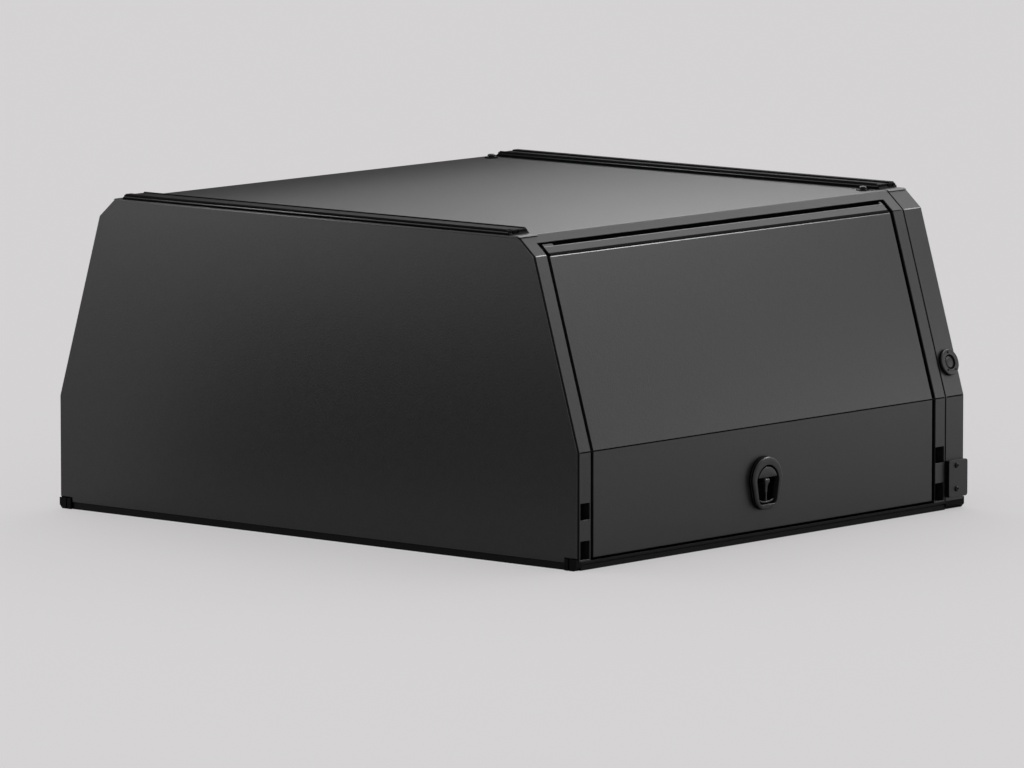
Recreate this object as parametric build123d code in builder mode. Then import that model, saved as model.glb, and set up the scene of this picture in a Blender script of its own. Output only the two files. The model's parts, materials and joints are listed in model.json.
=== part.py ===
# Pickup truck canopy: a tray-back canopy of black powder-coated aluminium with lift-up side doors.
# Millimetres. +Z is up, +Y is the vehicle's forward direction, +X is the vehicle's right side.
# The origin is on the ground, at the centre of the canopy's footprint.
import math
import os

from build123d import *

os.makedirs("parts", exist_ok=True)

# Overall size
HALF_WIDTH = 925.0
HALF_LENGTH = 810.0
ROOF_Z = 860.0

# Side profile, measured on the outer face
KNEE_Z = 309.0
LEAN_IN = 151.0
CHEEK_TALL = 49.3
CHEEK_ACROSS = 57.0
FOLD_R = 6.0

# Sheet and tube
SHEET = 3.0
TUBE_WALL = 3.0
RIB_WALL = 2.0
EDGE_R = 2.8
CUT_PAST = 1.0

# Base
RAIL_DEPTH = 47.0
RAIL_TOP_Z = 24.0
RAIL_LINE_LOW_Z = 14.0
RAIL_LINE_TALL = 3.0
RAIL_LINE_DEPTH = 6.0
RAIL_RECESS = 3.0
PANEL_LOW_Z = 20.0
BEARER_WIDE = 50.0
BEARER_LOW_Z = 4.0
BEARER_END_IN = 120.0
BEARER_COUNT = 4
ANCHOR_IN = 145.0
ANCHOR_R = 6.5

# Corner feet
FOOT_PROUD = 4.0
FOOT_REAR_LONG = 18.0
FOOT_WIDE = 41.0
FOOT_LIP_Z = 30.0
EAR_WIDE = 13.0
EAR_GROOVE = 4.0
FOOT_CHAMFER = 10.0
NOTCH_GAP = 3.0

# Body frame
GASKET = 6.0
GASKET_IN = 0.5
PANEL_EDGE_IN = 1.5
GASKET_DEEP = 20.0
GASKET_TOP_GAP = 0.5
POST_WIDE = 44.0
POST_DEEP = 50.0
STRIP_WIDE = 77.0
STRIP_RETURN = 40.0
LAND_DEPTH = 38.0
LAND_WIDE = 24.0
LAND_TOP_L = 60.0
SEAL_TALL = 8.0
SEAL_WIDE = 8.0
WINDOWS_Z = ((28.0, 77.0), (132.0, 176.0))
TOP_RAIL_TALL = 40.0
BOW_WIDE = 40.0
BOW_TALL = 25.0
BOW_COUNT = 3

# Hinge, in a slot on the sloping cheek between the header and the door's top band
HEADER_S = 30.0
HEADER_WEB_IN = 3.0
SHELF_DROP = 18.0
SHELF_PAST = 2.5
PIVOT_S = 48.0
PIVOT_D = 10.0
BEAD_R = 4.0
CLAW_CLEARANCE = 0.08
CLAW_WALL = 3.2
CLAW_FROM = -80.0
CLAW_TO = 130.0
NECK = 2.5
NECK_ANGLE = 247.0
LEAF_S = 46.0
LEAF_END_S = 73.0
LUG_S = 38.0
LUG_LONG_REAR = 40.0
LUG_LONG_FRONT = 10.0
TONGUE_DEPTH = 7.0
TONGUE_L = 40.0

# Door
DOOR_GAP = 12.0
DOOR_LOW_Z = 30.0
DOOR_TOP_L = 2.6
DOOR_RETURN = 25.0
DOOR_FLANGE_L = 30.0
RIB_WIDE = 40.0
RIB_IN = 228.0
RIB_BELOW_TONGUE = 10.0

# Latch
LATCH_BACK = 11.5
LATCH_LOW_Z = 84.5
LATCH_HIGH_Z = 226.2
LATCH_SHOULDER_Z = 160.0
LATCH_HALF = 62.0
LATCH_LOW_HALF = 44.5
LATCH_CORNER = 45.0
LATCH_PROUD = 17.0
LATCH_EDGE = 4.0
MOUTH_HALF = 46.0
MOUTH_LOW_HALF = 35.0
MOUTH_LOW_Z = 99.3
MOUTH_HIGH_Z = 204.0
MOUTH_CORNER = 14.0
CUP_DEEP = 26.0
CUP_WALL = 2.5
CUP_FIT = 0.2
MOON_GAP = 5.0
MOON_LOW_Z = 171.0
MOON_SET_BACK = 1.5
CAM_R = 14.0
CAM_LONG = 20.0
CAM_ARM_LONG = 70.0
CAM_ARM_TALL = 20.0
CAM_ARM_THICK = 4.0

# Latch handle
PIN_OUT = 7.5
PIN_Z = 162.0
PIN_R = 3.0
PIN_FIT = 0.08
EAR_THICK = 4.0
EAR_GAP = 2.0
EAR_TALL = 16.0
TRUNNION_R = 7.0
TRUNNION_WIDE = 18.0
STEM_WIDE = 9.5
STEM_LOW_WIDE = 5.0
STEM_THICK = 8.0
BAR_HALF = 28.0
BAR_LOW_Z = 104.8
BAR_TALL = 7.0
BAR_RISE = 4.0
BAR_THICK = 9.0

# Roof rails, measured in from the outer edge and up from the roof
ROOF_RAIL_WIDE = 76.0
ROOF_RAIL_TALL = 16.0
ROOF_RAIL_WALL = 3.0
ROOF_RAIL_PAST = 1.0
ROOF_RAIL_MITRE = 18.0
RAIL_BASE_GAP = 4.0
RAIL_BEAD = 1.5
RAIL_LIP = 20.0
SLOT_WIDE = 10.0
SLOT_UNDERCUT = 8.0
LAND_DROP = 2.0
INNER_LIP = 14.0
PLATE = 1.5
PLATE_DOWN = 9.0

# Bolts on the roof
ROOF_BOLT_IN = 47.0
ROOF_BOLT_BACK = 125.0
WASHER_R = 19.0
WASHER_THICK = 2.5
ROOF_BOLT_R = 9.0
ROOF_BOLT_TALL = 12.0

# Round port
PORT_BACK = 38.0
PORT_ABOVE_KNEE = 89.0
PORT_R = 36.5
PORT_TALL = 10.0
PORT_FLOOR = 2.0
PORT_CAP_R = 16.5
PORT_CAP_GAP = 4.0
PORT_CAP_TALL = 6.0

# Front brackets
BRACKET_LOW_Z = 34.0
BRACKET_HIGH_Z = 135.0
BRACKET_THICK = 12.0
BRACKET_PAST = 3.0
BRACKET_CORNER = 8.0
BRACKET_BOLT_BACK = 45.3
BRACKET_BOLT_R = 7.5
BRACKET_BOLT_TALL = 5.0
BRACKET_BOLT_IN_LOW = 22.4
BRACKET_BOLT_IN_HIGH = 14.4

# Derived positions
CHEEK_Z = ROOF_Z - CHEEK_TALL
CHEEK_X = HALF_WIDTH - LEAN_IN
EAVE_X = CHEEK_X - CHEEK_ACROSS
UNDER_ROOF_Z = ROOF_Z - SHEET
END_INSIDE_Y = HALF_LENGTH - SHEET
REAR_POST_Y = -END_INSIDE_Y + GASKET
OPENING_REAR_Y = REAR_POST_Y + POST_WIDE
STRIP_Y = HALF_LENGTH - STRIP_WIDE
FRONT_POST_Y = STRIP_Y - GASKET - POST_WIDE
OPENING_LONG = FRONT_POST_Y - OPENING_REAR_Y
DOOR_REAR_Y = OPENING_REAR_Y + DOOR_GAP
DOOR_FRONT_Y = FRONT_POST_Y - DOOR_GAP
DOOR_INSIDE_REAR_Y = DOOR_REAR_Y + SHEET
DOOR_INSIDE_FRONT_Y = DOOR_FRONT_Y - SHEET
RAIL_REAR_Y = -HALF_LENGTH + FOOT_REAR_LONG
BEARER_END_Y = HALF_LENGTH - BEARER_END_IN
BEARER_PITCH = 2 * BEARER_END_Y / (BEARER_COUNT - 1)
BEARER_YS = [-BEARER_END_Y + BEARER_PITCH * i for i in range(BEARER_COUNT)]
BOW_PITCH = OPENING_LONG / (BOW_COUNT + 1)
BOW_YS = [OPENING_REAR_Y + BOW_PITCH * (i + 1) for i in range(BOW_COUNT)]
ANCHOR_X = HALF_WIDTH - ANCHOR_IN
LATCH_Y = (DOOR_REAR_Y + DOOR_FRONT_Y) / 2 - LATCH_BACK
HEADER_WEB_X = EAVE_X - HEADER_WEB_IN
CLAW_R = BEAD_R + CLAW_CLEARANCE + CLAW_WALL

# Directions of the profile's straight faces, right side
LEAN_LENGTH = math.hypot(LEAN_IN, CHEEK_Z - KNEE_Z)
LEAN_DOWN = (LEAN_IN / LEAN_LENGTH, -(CHEEK_Z - KNEE_Z) / LEAN_LENGTH)
LEAN_OUT = (-LEAN_DOWN[1], LEAN_DOWN[0])
CHEEK_LENGTH = math.hypot(CHEEK_ACROSS, CHEEK_TALL)
CHEEK_DOWN = (CHEEK_ACROSS / CHEEK_LENGTH, -CHEEK_TALL / CHEEK_LENGTH)
CHEEK_OUT = (-CHEEK_DOWN[1], CHEEK_DOWN[0])


def on_cheek(along, depth):
    """Point on the sloping cheek, measured down from the roof edge and in from the face."""
    x = EAVE_X + CHEEK_DOWN[0] * along - CHEEK_OUT[0] * depth
    z = ROOF_Z + CHEEK_DOWN[1] * along - CHEEK_OUT[1] * depth
    return (x, z)


def on_lean(along, depth):
    """Point on the leaning face, measured down from the cheek's lower edge and in from the face."""
    x = CHEEK_X + LEAN_DOWN[0] * along - LEAN_OUT[0] * depth
    z = CHEEK_Z + LEAN_DOWN[1] * along - LEAN_OUT[1] * depth
    return (x, z)


def meet(point_a, way_a, point_b, way_b):
    """Where two straight lines meet."""
    cross = way_a[0] * way_b[1] - way_a[1] * way_b[0]
    gap = (point_b[0] - point_a[0], point_b[1] - point_a[1])
    reach = (gap[0] * way_b[1] - gap[1] * way_b[0]) / cross
    return (point_a[0] + way_a[0] * reach, point_a[1] + way_a[1] * reach)


def knee(depth):
    """Knee of the profile at a depth in from the outer face."""
    return meet((HALF_WIDTH - depth, 0.0), (0.0, 1.0), on_lean(0.0, depth), LEAN_DOWN)


def cheek(depth):
    """Lower edge of the cheek at a depth in from the outer face."""
    return meet(on_lean(0.0, depth), LEAN_DOWN, on_cheek(0.0, depth), CHEEK_DOWN)


def eave(depth):
    """Edge of the roof at a depth in from the outer face."""
    return meet(on_cheek(0.0, depth), CHEEK_DOWN, (0.0, ROOF_Z - depth), (1.0, 0.0))


def cheek_at(depth, height):
    """Point at a height on the cheek's line at a depth."""
    return meet(on_cheek(0.0, depth), CHEEK_DOWN, (0.0, height), (1.0, 0.0))


def side_line(depth, low, high):
    """Right side of the profile from a low height up to a high height on the cheek."""
    return [(HALF_WIDTH - depth, low), knee(depth), cheek(depth), cheek_at(depth, high)]


def band(outer, inner, low, high):
    """Closed outline between two depths of the right side."""
    return side_line(outer, low, high) + side_line(inner, low, high)[::-1]


def door_line(depth, top, low):
    """Door face from its top edge down to a low height, at a depth."""
    return [on_lean(top, depth), knee(depth), (HALF_WIDTH - depth, low)]


def mirrored(points):
    """The same outline on the left side."""
    return [(-x, z) for x, z in points]


def both_sides(points):
    """Closed outline of the right side's points and their mirror image."""
    return points + mirrored(points)[::-1]


def side_of(sign, points):
    """Outline on the right side for +1 and on the left side for -1."""
    return points if sign > 0 else mirrored(points)


def across(y):
    """Upright plane across the vehicle, facing the rear, so an extrusion runs to the rear."""
    return Plane(origin=(0, y, 0), x_dir=(1, 0, 0), z_dir=(0, -1, 0))


def along(x, y=0.0):
    """Upright plane along the vehicle, facing right, so an extrusion runs to the right."""
    return Plane(origin=(x, y, 0), x_dir=(0, 1, 0), z_dir=(1, 0, 0))


def corners(sketch, points):
    """The sketch's corners that lie at the given points."""
    return [sketch.vertices().sort_by_distance((x, z, 0))[0] for x, z in points]


def save(piece, name):
    """Label one piece and write its file."""
    piece.label = name
    export_step(piece, "parts/" + name + ".step")


PIVOT_X, PIVOT_Z = on_cheek(PIVOT_S, PIVOT_D)


# Base rails along both sides
def rail_outline():
    outer = HALF_WIDTH
    line_high_z = RAIL_LINE_LOW_Z + RAIL_LINE_TALL
    return [
        (outer - RAIL_RECESS, 0.0),
        (outer - RAIL_RECESS, RAIL_LINE_LOW_Z),
        (outer - RAIL_LINE_DEPTH, RAIL_LINE_LOW_Z),
        (outer - RAIL_LINE_DEPTH, line_high_z),
        (outer, line_high_z),
        (outer, RAIL_TOP_Z),
        (outer - LAND_DEPTH, RAIL_TOP_Z),
        (outer - LAND_DEPTH, RAIL_TOP_Z + LAND_WIDE),
        (outer - LAND_DEPTH - TUBE_WALL, RAIL_TOP_Z + LAND_WIDE),
        (outer - LAND_DEPTH - TUBE_WALL, RAIL_TOP_Z),
        (outer - RAIL_DEPTH, RAIL_TOP_Z),
        (outer - RAIL_DEPTH, 0.0),
    ]


def rail_hollow():
    outer = HALF_WIDTH - RAIL_LINE_DEPTH - TUBE_WALL
    inner = HALF_WIDTH - RAIL_DEPTH + TUBE_WALL
    return [
        (outer, TUBE_WALL),
        (outer, RAIL_TOP_Z - TUBE_WALL),
        (inner, RAIL_TOP_Z - TUBE_WALL),
        (inner, TUBE_WALL),
    ]


UPSTAND_ENDS_Y = ((RAIL_REAR_Y, OPENING_REAR_Y + LAND_WIDE), (FRONT_POST_Y - LAND_WIDE, STRIP_Y))
for sign, side in ((1, "right"), (-1, "left")):
    with BuildPart() as base_rail:
        with BuildSketch(across(STRIP_Y)):
            with BuildLine():
                Polyline(*side_of(sign, rail_outline()), close=True)
            make_face()
            with BuildLine():
                Polyline(*side_of(sign, rail_hollow()), close=True)
            make_face(mode=Mode.SUBTRACT)
        extrude(amount=STRIP_Y - RAIL_REAR_Y)
        for end_low_y, end_high_y in UPSTAND_ENDS_Y:
            with BuildSketch(across(end_high_y)):
                with Locations((sign * (HALF_WIDTH - LAND_DEPTH), RAIL_TOP_Z + LAND_WIDE / 2)):
                    Rectangle(4 * TUBE_WALL, LAND_WIDE)
            extrude(amount=end_high_y - end_low_y, mode=Mode.SUBTRACT)
    save(base_rail.part, "base_rail_" + side)

# Base rails across the rear and the front
for low_y, end in ((-END_INSIDE_Y, "rear"), (END_INSIDE_Y - RAIL_DEPTH, "front")):
    with BuildPart() as cross_rail:
        with BuildSketch(along(-HALF_WIDTH + RAIL_DEPTH)):
            with Locations((low_y + RAIL_DEPTH / 2, RAIL_TOP_Z / 2)):
                Rectangle(RAIL_DEPTH, RAIL_TOP_Z)
                Rectangle(
                    RAIL_DEPTH - 2 * TUBE_WALL, RAIL_TOP_Z - 2 * TUBE_WALL, mode=Mode.SUBTRACT
                )
        extrude(amount=2 * (HALF_WIDTH - RAIL_DEPTH))
    save(cross_rail.part, "base_rail_" + end)


# Corner feet: a block under the post or strip, with an ear and a lip that stand proud of the end panel
def foot_block():
    outer = HALF_WIDTH
    inner = HALF_WIDTH - FOOT_WIDE
    groove = inner + EAR_WIDE
    return [
        (outer, FOOT_CHAMFER),
        (outer, FOOT_LIP_Z),
        (groove + EAR_GROOVE, FOOT_LIP_Z),
        (groove + EAR_GROOVE, RAIL_TOP_Z),
        (groove, RAIL_TOP_Z),
        (groove, FOOT_LIP_Z),
        (inner, FOOT_LIP_Z),
        (inner, 0.0),
        (outer - FOOT_CHAMFER, 0.0),
    ]


def foot_inside():
    outer = HALF_WIDTH
    inner = HALF_WIDTH - RAIL_DEPTH
    return [
        (outer, FOOT_CHAMFER),
        (outer, RAIL_TOP_Z),
        (inner, RAIL_TOP_Z),
        (inner, 0.0),
        (outer - FOOT_CHAMFER, 0.0),
    ]


for sign_x, side in ((1, "right"), (-1, "left")):
    for sign_y, end in ((-1, "rear"), (1, "front")):
        foot_long = FOOT_REAR_LONG if sign_y < 0 else STRIP_WIDE
        with BuildPart() as foot:
            with BuildSketch(across(sign_y * END_INSIDE_Y)):
                with BuildLine():
                    Polyline(*side_of(sign_x, foot_inside()), close=True)
                make_face()
            extrude(amount=sign_y * (foot_long - SHEET))
            with BuildSketch(across(sign_y * END_INSIDE_Y)):
                with BuildLine():
                    Polyline(*side_of(sign_x, foot_block()), close=True)
                make_face()
            extrude(amount=-sign_y * (SHEET + FOOT_PROUD))
            groove_x = HALF_WIDTH - FOOT_WIDE + EAR_WIDE + EAR_GROOVE / 2
            groove_y = HALF_LENGTH + FOOT_PROUD - EAR_GROOVE / 2
            with Locations((sign_x * groove_x, sign_y * groove_y, RAIL_TOP_Z / 2)):
                Box(EAR_GROOVE, EAR_GROOVE, RAIL_TOP_Z, mode=Mode.SUBTRACT)
        save(foot.part, "foot_" + end + "_" + side)

# Floor sheet with its anchor holes
with BuildPart() as floor_panel:
    floor_half_x = HALF_WIDTH - LAND_DEPTH - TUBE_WALL
    with BuildSketch(Plane.XY.offset(RAIL_TOP_Z)):
        with Locations((0, (OPENING_REAR_Y + FRONT_POST_Y) / 2)):
            Rectangle(2 * floor_half_x, OPENING_LONG)
        Rectangle(2 * (HALF_WIDTH - POST_DEEP), 2 * END_INSIDE_Y)
        with GridLocations(2 * ANCHOR_X, 2 * BEARER_END_Y, 2, 2):
            Circle(ANCHOR_R, mode=Mode.SUBTRACT)
    extrude(amount=SHEET)
save(floor_panel.part, "floor_panel")

# Cross bearers under the floor, folded channels that are open below
with BuildPart() as floor_bearers:
    bearer_tall = RAIL_TOP_Z - BEARER_LOW_Z
    for y in BEARER_YS:
        with BuildSketch(along(-HALF_WIDTH + RAIL_DEPTH)):
            with Locations((y, RAIL_TOP_Z - bearer_tall / 2)):
                Rectangle(BEARER_WIDE, bearer_tall)
            with Locations((y, RAIL_TOP_Z - RIB_WALL - bearer_tall / 2)):
                Rectangle(BEARER_WIDE - 2 * RIB_WALL, bearer_tall, mode=Mode.SUBTRACT)
        extrude(amount=2 * (HALF_WIDTH - RAIL_DEPTH))
    with BuildSketch(Plane.XY.offset(RAIL_TOP_Z)):
        with GridLocations(2 * ANCHOR_X, 2 * BEARER_END_Y, 2, 2):
            Circle(ANCHOR_R)
    extrude(amount=-2 * RIB_WALL, mode=Mode.SUBTRACT)
save(floor_bearers.part, "floor_bearers")

# Flat end panels, notched over the feet
notch_x = HALF_WIDTH - FOOT_WIDE - NOTCH_GAP
notch_z = FOOT_LIP_Z + NOTCH_GAP
for name, y in (("rear_panel", -END_INSIDE_Y), ("front_panel", HALF_LENGTH)):
    with BuildPart() as end_panel:
        with BuildSketch(across(y)) as panel_face:
            with BuildLine():
                Polyline(
                    *both_sides(
                        [(notch_x, PANEL_LOW_Z), (notch_x, notch_z)]
                        + side_line(PANEL_EDGE_IN, notch_z, ROOF_Z)
                    ),
                    close=True,
                )
            make_face()
            folds = [knee(PANEL_EDGE_IN), cheek(PANEL_EDGE_IN), eave(PANEL_EDGE_IN)]
            fillet(corners(panel_face, folds + mirrored(folds)), FOLD_R)
        extrude(amount=SHEET)
    save(end_panel.part, name)

# Rubber strips in the seams beside the posts
for name, y in (("rear_gasket", REAR_POST_Y), ("front_gasket", STRIP_Y)):
    with BuildPart() as gasket:
        with BuildSketch(across(y)):
            with BuildLine():
                Polyline(
                    *both_sides(side_line(GASKET_IN, RAIL_TOP_Z, UNDER_ROOF_Z - GASKET_TOP_GAP)),
                    close=True,
                )
            make_face()
            with BuildLine():
                Polyline(
                    *both_sides(
                        side_line(
                            GASKET_IN + GASKET_DEEP,
                            RAIL_TOP_Z - CUT_PAST,
                            UNDER_ROOF_Z - GASKET_DEEP,
                        )
                    ),
                    close=True,
                )
            make_face(mode=Mode.SUBTRACT)
        extrude(amount=GASKET)
    save(gasket.part, name)

# Folded front corner strips
for sign, side in ((1, "right"), (-1, "left")):
    with BuildPart() as strip:
        with BuildSketch(across(END_INSIDE_Y)) as strip_face:
            with BuildLine():
                Polyline(*side_of(sign, band(0.0, SHEET, RAIL_TOP_Z, UNDER_ROOF_Z)), close=True)
            make_face()
            fillet(corners(strip_face, side_of(sign, [knee(0.0), cheek(0.0)])), FOLD_R)
            inner_folds = [knee(SHEET), cheek(SHEET)]
            fillet(corners(strip_face, side_of(sign, inner_folds)), FOLD_R - SHEET)
        extrude(amount=STRIP_WIDE - SHEET)
        with BuildSketch(across(STRIP_Y + SHEET)) as return_face:
            with BuildLine():
                Polyline(*side_of(sign, band(0.0, STRIP_RETURN, RAIL_TOP_Z, UNDER_ROOF_Z)), close=True)
            make_face()
            fillet(corners(return_face, side_of(sign, [knee(0.0), cheek(0.0)])), FOLD_R)
        extrude(amount=SHEET)
    save(strip.part, "front_strip_" + side)

# Roof sheet
with BuildPart() as roof_panel:
    with BuildSketch(across(END_INSIDE_Y)) as roof_face:
        with BuildLine():
            Polyline(*both_sides([cheek_at(0.0, UNDER_ROOF_Z), eave(0.0)]), close=True)
        make_face()
        fillet(corners(roof_face, [eave(0.0)] + mirrored([eave(0.0)])), FOLD_R)
    extrude(amount=2 * END_INSIDE_Y)
save(roof_panel.part, "roof_panel")

# Roof bows between the headers
with BuildPart() as roof_bows:
    for y in BOW_YS:
        with BuildSketch(along(-HEADER_WEB_X)):
            with Locations((y, UNDER_ROOF_Z - BOW_TALL / 2)):
                Rectangle(BOW_WIDE, BOW_TALL)
                Rectangle(BOW_WIDE - 2 * RIB_WALL, BOW_TALL - 2 * RIB_WALL, mode=Mode.SUBTRACT)
        extrude(amount=2 * HEADER_WEB_X)
save(roof_bows.part, "roof_bows")


# Corner posts: tubes that follow the profile, with two cut-outs low down and a land for the door seal
def land_outline():
    back = LAND_DEPTH + TUBE_WALL
    return [
        (HALF_WIDTH - LAND_DEPTH, RAIL_TOP_Z),
        knee(LAND_DEPTH),
        on_lean(LAND_TOP_L, LAND_DEPTH),
        on_lean(LAND_TOP_L, back),
        knee(back),
        (HALF_WIDTH - back, RAIL_TOP_Z),
    ]


for sign, side in ((1, "right"), (-1, "left")):
    for low_y, end in ((REAR_POST_Y, "rear"), (FRONT_POST_Y, "front")):
        high_y = low_y + POST_WIDE
        land_y = high_y + LAND_WIDE if end == "rear" else low_y
        post_outer = band(0.0, POST_DEEP, RAIL_TOP_Z, UNDER_ROOF_Z)
        post_inner = band(
            TUBE_WALL, POST_DEEP - TUBE_WALL, RAIL_TOP_Z + TUBE_WALL, UNDER_ROOF_Z - TUBE_WALL
        )
        with BuildPart() as post:
            with BuildSketch(across(high_y)) as post_face:
                with BuildLine():
                    Polyline(*side_of(sign, post_outer), close=True)
                make_face()
                fillet(corners(post_face, side_of(sign, [knee(0.0), cheek(0.0)])), FOLD_R)
            extrude(amount=POST_WIDE)
            with BuildSketch(across(high_y - TUBE_WALL)):
                with BuildLine():
                    Polyline(*side_of(sign, post_inner), close=True)
                make_face()
            extrude(amount=POST_WIDE - 2 * TUBE_WALL, mode=Mode.SUBTRACT)
            for low_z, high_z in WINDOWS_Z:
                with Locations((sign * HALF_WIDTH, (low_y + high_y) / 2, (low_z + high_z) / 2)):
                    Box(
                        4 * TUBE_WALL,
                        POST_WIDE - 2 * TUBE_WALL,
                        high_z - low_z,
                        mode=Mode.SUBTRACT,
                    )
            with BuildSketch(across(land_y)):
                with BuildLine():
                    Polyline(*side_of(sign, land_outline()), close=True)
                make_face()
            extrude(amount=LAND_WIDE)
        save(post.part, "post_" + end + "_" + side)

# Top rails under the roof sheet between the posts
top_rail_low_z = UNDER_ROOF_Z - TOP_RAIL_TALL
for low_y, end in ((REAR_POST_Y, "rear"), (FRONT_POST_Y, "front")):
    with BuildPart() as top_rail:
        with BuildSketch(across(low_y + POST_WIDE)):
            with BuildLine():
                Polyline(
                    *both_sides(
                        [cheek_at(POST_DEEP, top_rail_low_z), cheek_at(POST_DEEP, UNDER_ROOF_Z)]
                    ),
                    close=True,
                )
            make_face()
        extrude(amount=POST_WIDE)
        with BuildSketch(across(low_y + POST_WIDE - TUBE_WALL)):
            with Locations((0, UNDER_ROOF_Z - TOP_RAIL_TALL / 2)):
                Rectangle(2 * HALF_WIDTH, TOP_RAIL_TALL - 2 * TUBE_WALL)
        extrude(amount=POST_WIDE - 2 * TUBE_WALL, mode=Mode.SUBTRACT)
    save(top_rail.part, "top_rail_" + end)


# Headers between the posts: a lip on the cheek, a web behind the slot, a shelf, a neck and the fixed bead
NECK_WAY = (math.cos(math.radians(NECK_ANGLE)), math.sin(math.radians(NECK_ANGLE)))
SHELF_TOP_Z = PIVOT_Z - SHELF_DROP
SHELF_LOW_Z = SHELF_TOP_Z - TUBE_WALL
NECK_FOOT_X = PIVOT_X + NECK_WAY[0] * SHELF_DROP / -NECK_WAY[1]


def header_outline():
    web_out = HEADER_WEB_X + TUBE_WALL
    return [
        cheek_at(0.0, UNDER_ROOF_Z),
        on_cheek(HEADER_S, 0.0),
        on_cheek(HEADER_S, TUBE_WALL),
        meet(on_cheek(0.0, TUBE_WALL), CHEEK_DOWN, (web_out, 0.0), (0.0, 1.0)),
        (web_out, SHELF_TOP_Z),
        (NECK_FOOT_X + SHELF_PAST, SHELF_TOP_Z),
        (NECK_FOOT_X + SHELF_PAST, SHELF_LOW_Z),
        (HEADER_WEB_X, SHELF_LOW_Z),
        (HEADER_WEB_X, UNDER_ROOF_Z),
    ]


def neck_outline():
    off = (-NECK_WAY[1] * NECK / 2, NECK_WAY[0] * NECK / 2)
    foot = (NECK_FOOT_X + NECK_WAY[0] * NECK / 2, SHELF_TOP_Z + NECK_WAY[1] * NECK / 2)
    return [
        (PIVOT_X + off[0], PIVOT_Z + off[1]),
        (foot[0] + off[0], foot[1] + off[1]),
        (foot[0] - off[0], foot[1] - off[1]),
        (PIVOT_X - off[0], PIVOT_Z - off[1]),
    ]


for sign, side in ((1, "right"), (-1, "left")):
    with BuildPart() as header:
        with BuildSketch(across(FRONT_POST_Y)):
            with BuildLine():
                Polyline(*side_of(sign, header_outline()), close=True)
            make_face()
            with BuildLine():
                Polyline(*side_of(sign, neck_outline()), close=True)
            make_face()
            with Locations((sign * PIVOT_X, PIVOT_Z)):
                Circle(BEAD_R)
        extrude(amount=OPENING_LONG)
    save(header.part, "header_" + side)


# Door hinge leaf: a claw round the bead, the visible band on the cheek and a tongue behind the door skin
def leaf_outline():
    inner = TONGUE_DEPTH + TUBE_WALL
    return [
        on_cheek(LEAF_S, 0.0),
        on_cheek(LEAF_END_S, 0.0),
        on_cheek(LEAF_END_S, TONGUE_DEPTH),
        cheek(TONGUE_DEPTH),
        on_lean(TONGUE_L, TONGUE_DEPTH),
        on_lean(TONGUE_L, inner),
        cheek(inner),
        on_cheek(LEAF_END_S - TUBE_WALL, inner),
        on_cheek(LEAF_END_S - TUBE_WALL, TUBE_WALL),
        on_cheek(PIVOT_S + CLAW_R, TUBE_WALL),
        on_cheek(PIVOT_S + CLAW_R, PIVOT_D),
        on_cheek(PIVOT_S, PIVOT_D),
        on_cheek(PIVOT_S, TUBE_WALL),
        on_cheek(LEAF_S, TUBE_WALL),
    ]


def claw_gap():
    reach = 3 * CLAW_R
    points = [(PIVOT_X, PIVOT_Z)]
    for turn in (CLAW_TO, 0.5 * (CLAW_TO + CLAW_FROM + 360.0), CLAW_FROM + 360.0):
        angle = math.radians(turn)
        points.append((PIVOT_X + reach * math.cos(angle), PIVOT_Z + reach * math.sin(angle)))
    return points


def lug_outline():
    return [
        on_cheek(LUG_S, 0.0),
        on_cheek(LEAF_S, 0.0),
        on_cheek(LEAF_S, TUBE_WALL),
        on_cheek(LUG_S, TUBE_WALL),
    ]


LUG_ENDS_Y = (
    (DOOR_INSIDE_REAR_Y + LUG_LONG_REAR, LUG_LONG_REAR),
    (DOOR_INSIDE_FRONT_Y, LUG_LONG_FRONT),
)
for sign, side in ((1, "right"), (-1, "left")):
    with BuildPart() as leaf:
        with BuildSketch(across(DOOR_INSIDE_FRONT_Y)):
            with Locations((sign * PIVOT_X, PIVOT_Z)):
                Circle(CLAW_R)
            with BuildLine():
                Polyline(*side_of(sign, claw_gap()), close=True)
            make_face(mode=Mode.SUBTRACT)
            with BuildLine():
                Polyline(*side_of(sign, leaf_outline()), close=True)
            make_face()
            with Locations((sign * PIVOT_X, PIVOT_Z)):
                Circle(BEAD_R + CLAW_CLEARANCE, mode=Mode.SUBTRACT)
        extrude(amount=DOOR_INSIDE_FRONT_Y - DOOR_INSIDE_REAR_Y)
        for lug_y, lug_long in LUG_ENDS_Y:
            with BuildSketch(across(lug_y)):
                with BuildLine():
                    Polyline(*side_of(sign, lug_outline()), close=True)
                make_face()
            extrude(amount=lug_long)
    save(leaf.part, "door_leaf_" + side)


# Latch outline: a round top on two shoulders, and sides that draw in to the foot
def draw_latch(half, low_half, low_z, high_z):
    """Add a latch outline, about its middle, to the line being drawn."""
    ThreePointArc((-half, LATCH_SHOULDER_Z), (0.0, high_z), (half, LATCH_SHOULDER_Z))
    Polyline(
        (half, LATCH_SHOULDER_Z), (low_half, low_z), (-low_half, low_z), (-half, LATCH_SHOULDER_Z)
    )


CUP_OUT = CUP_WALL + CUP_FIT

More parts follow.
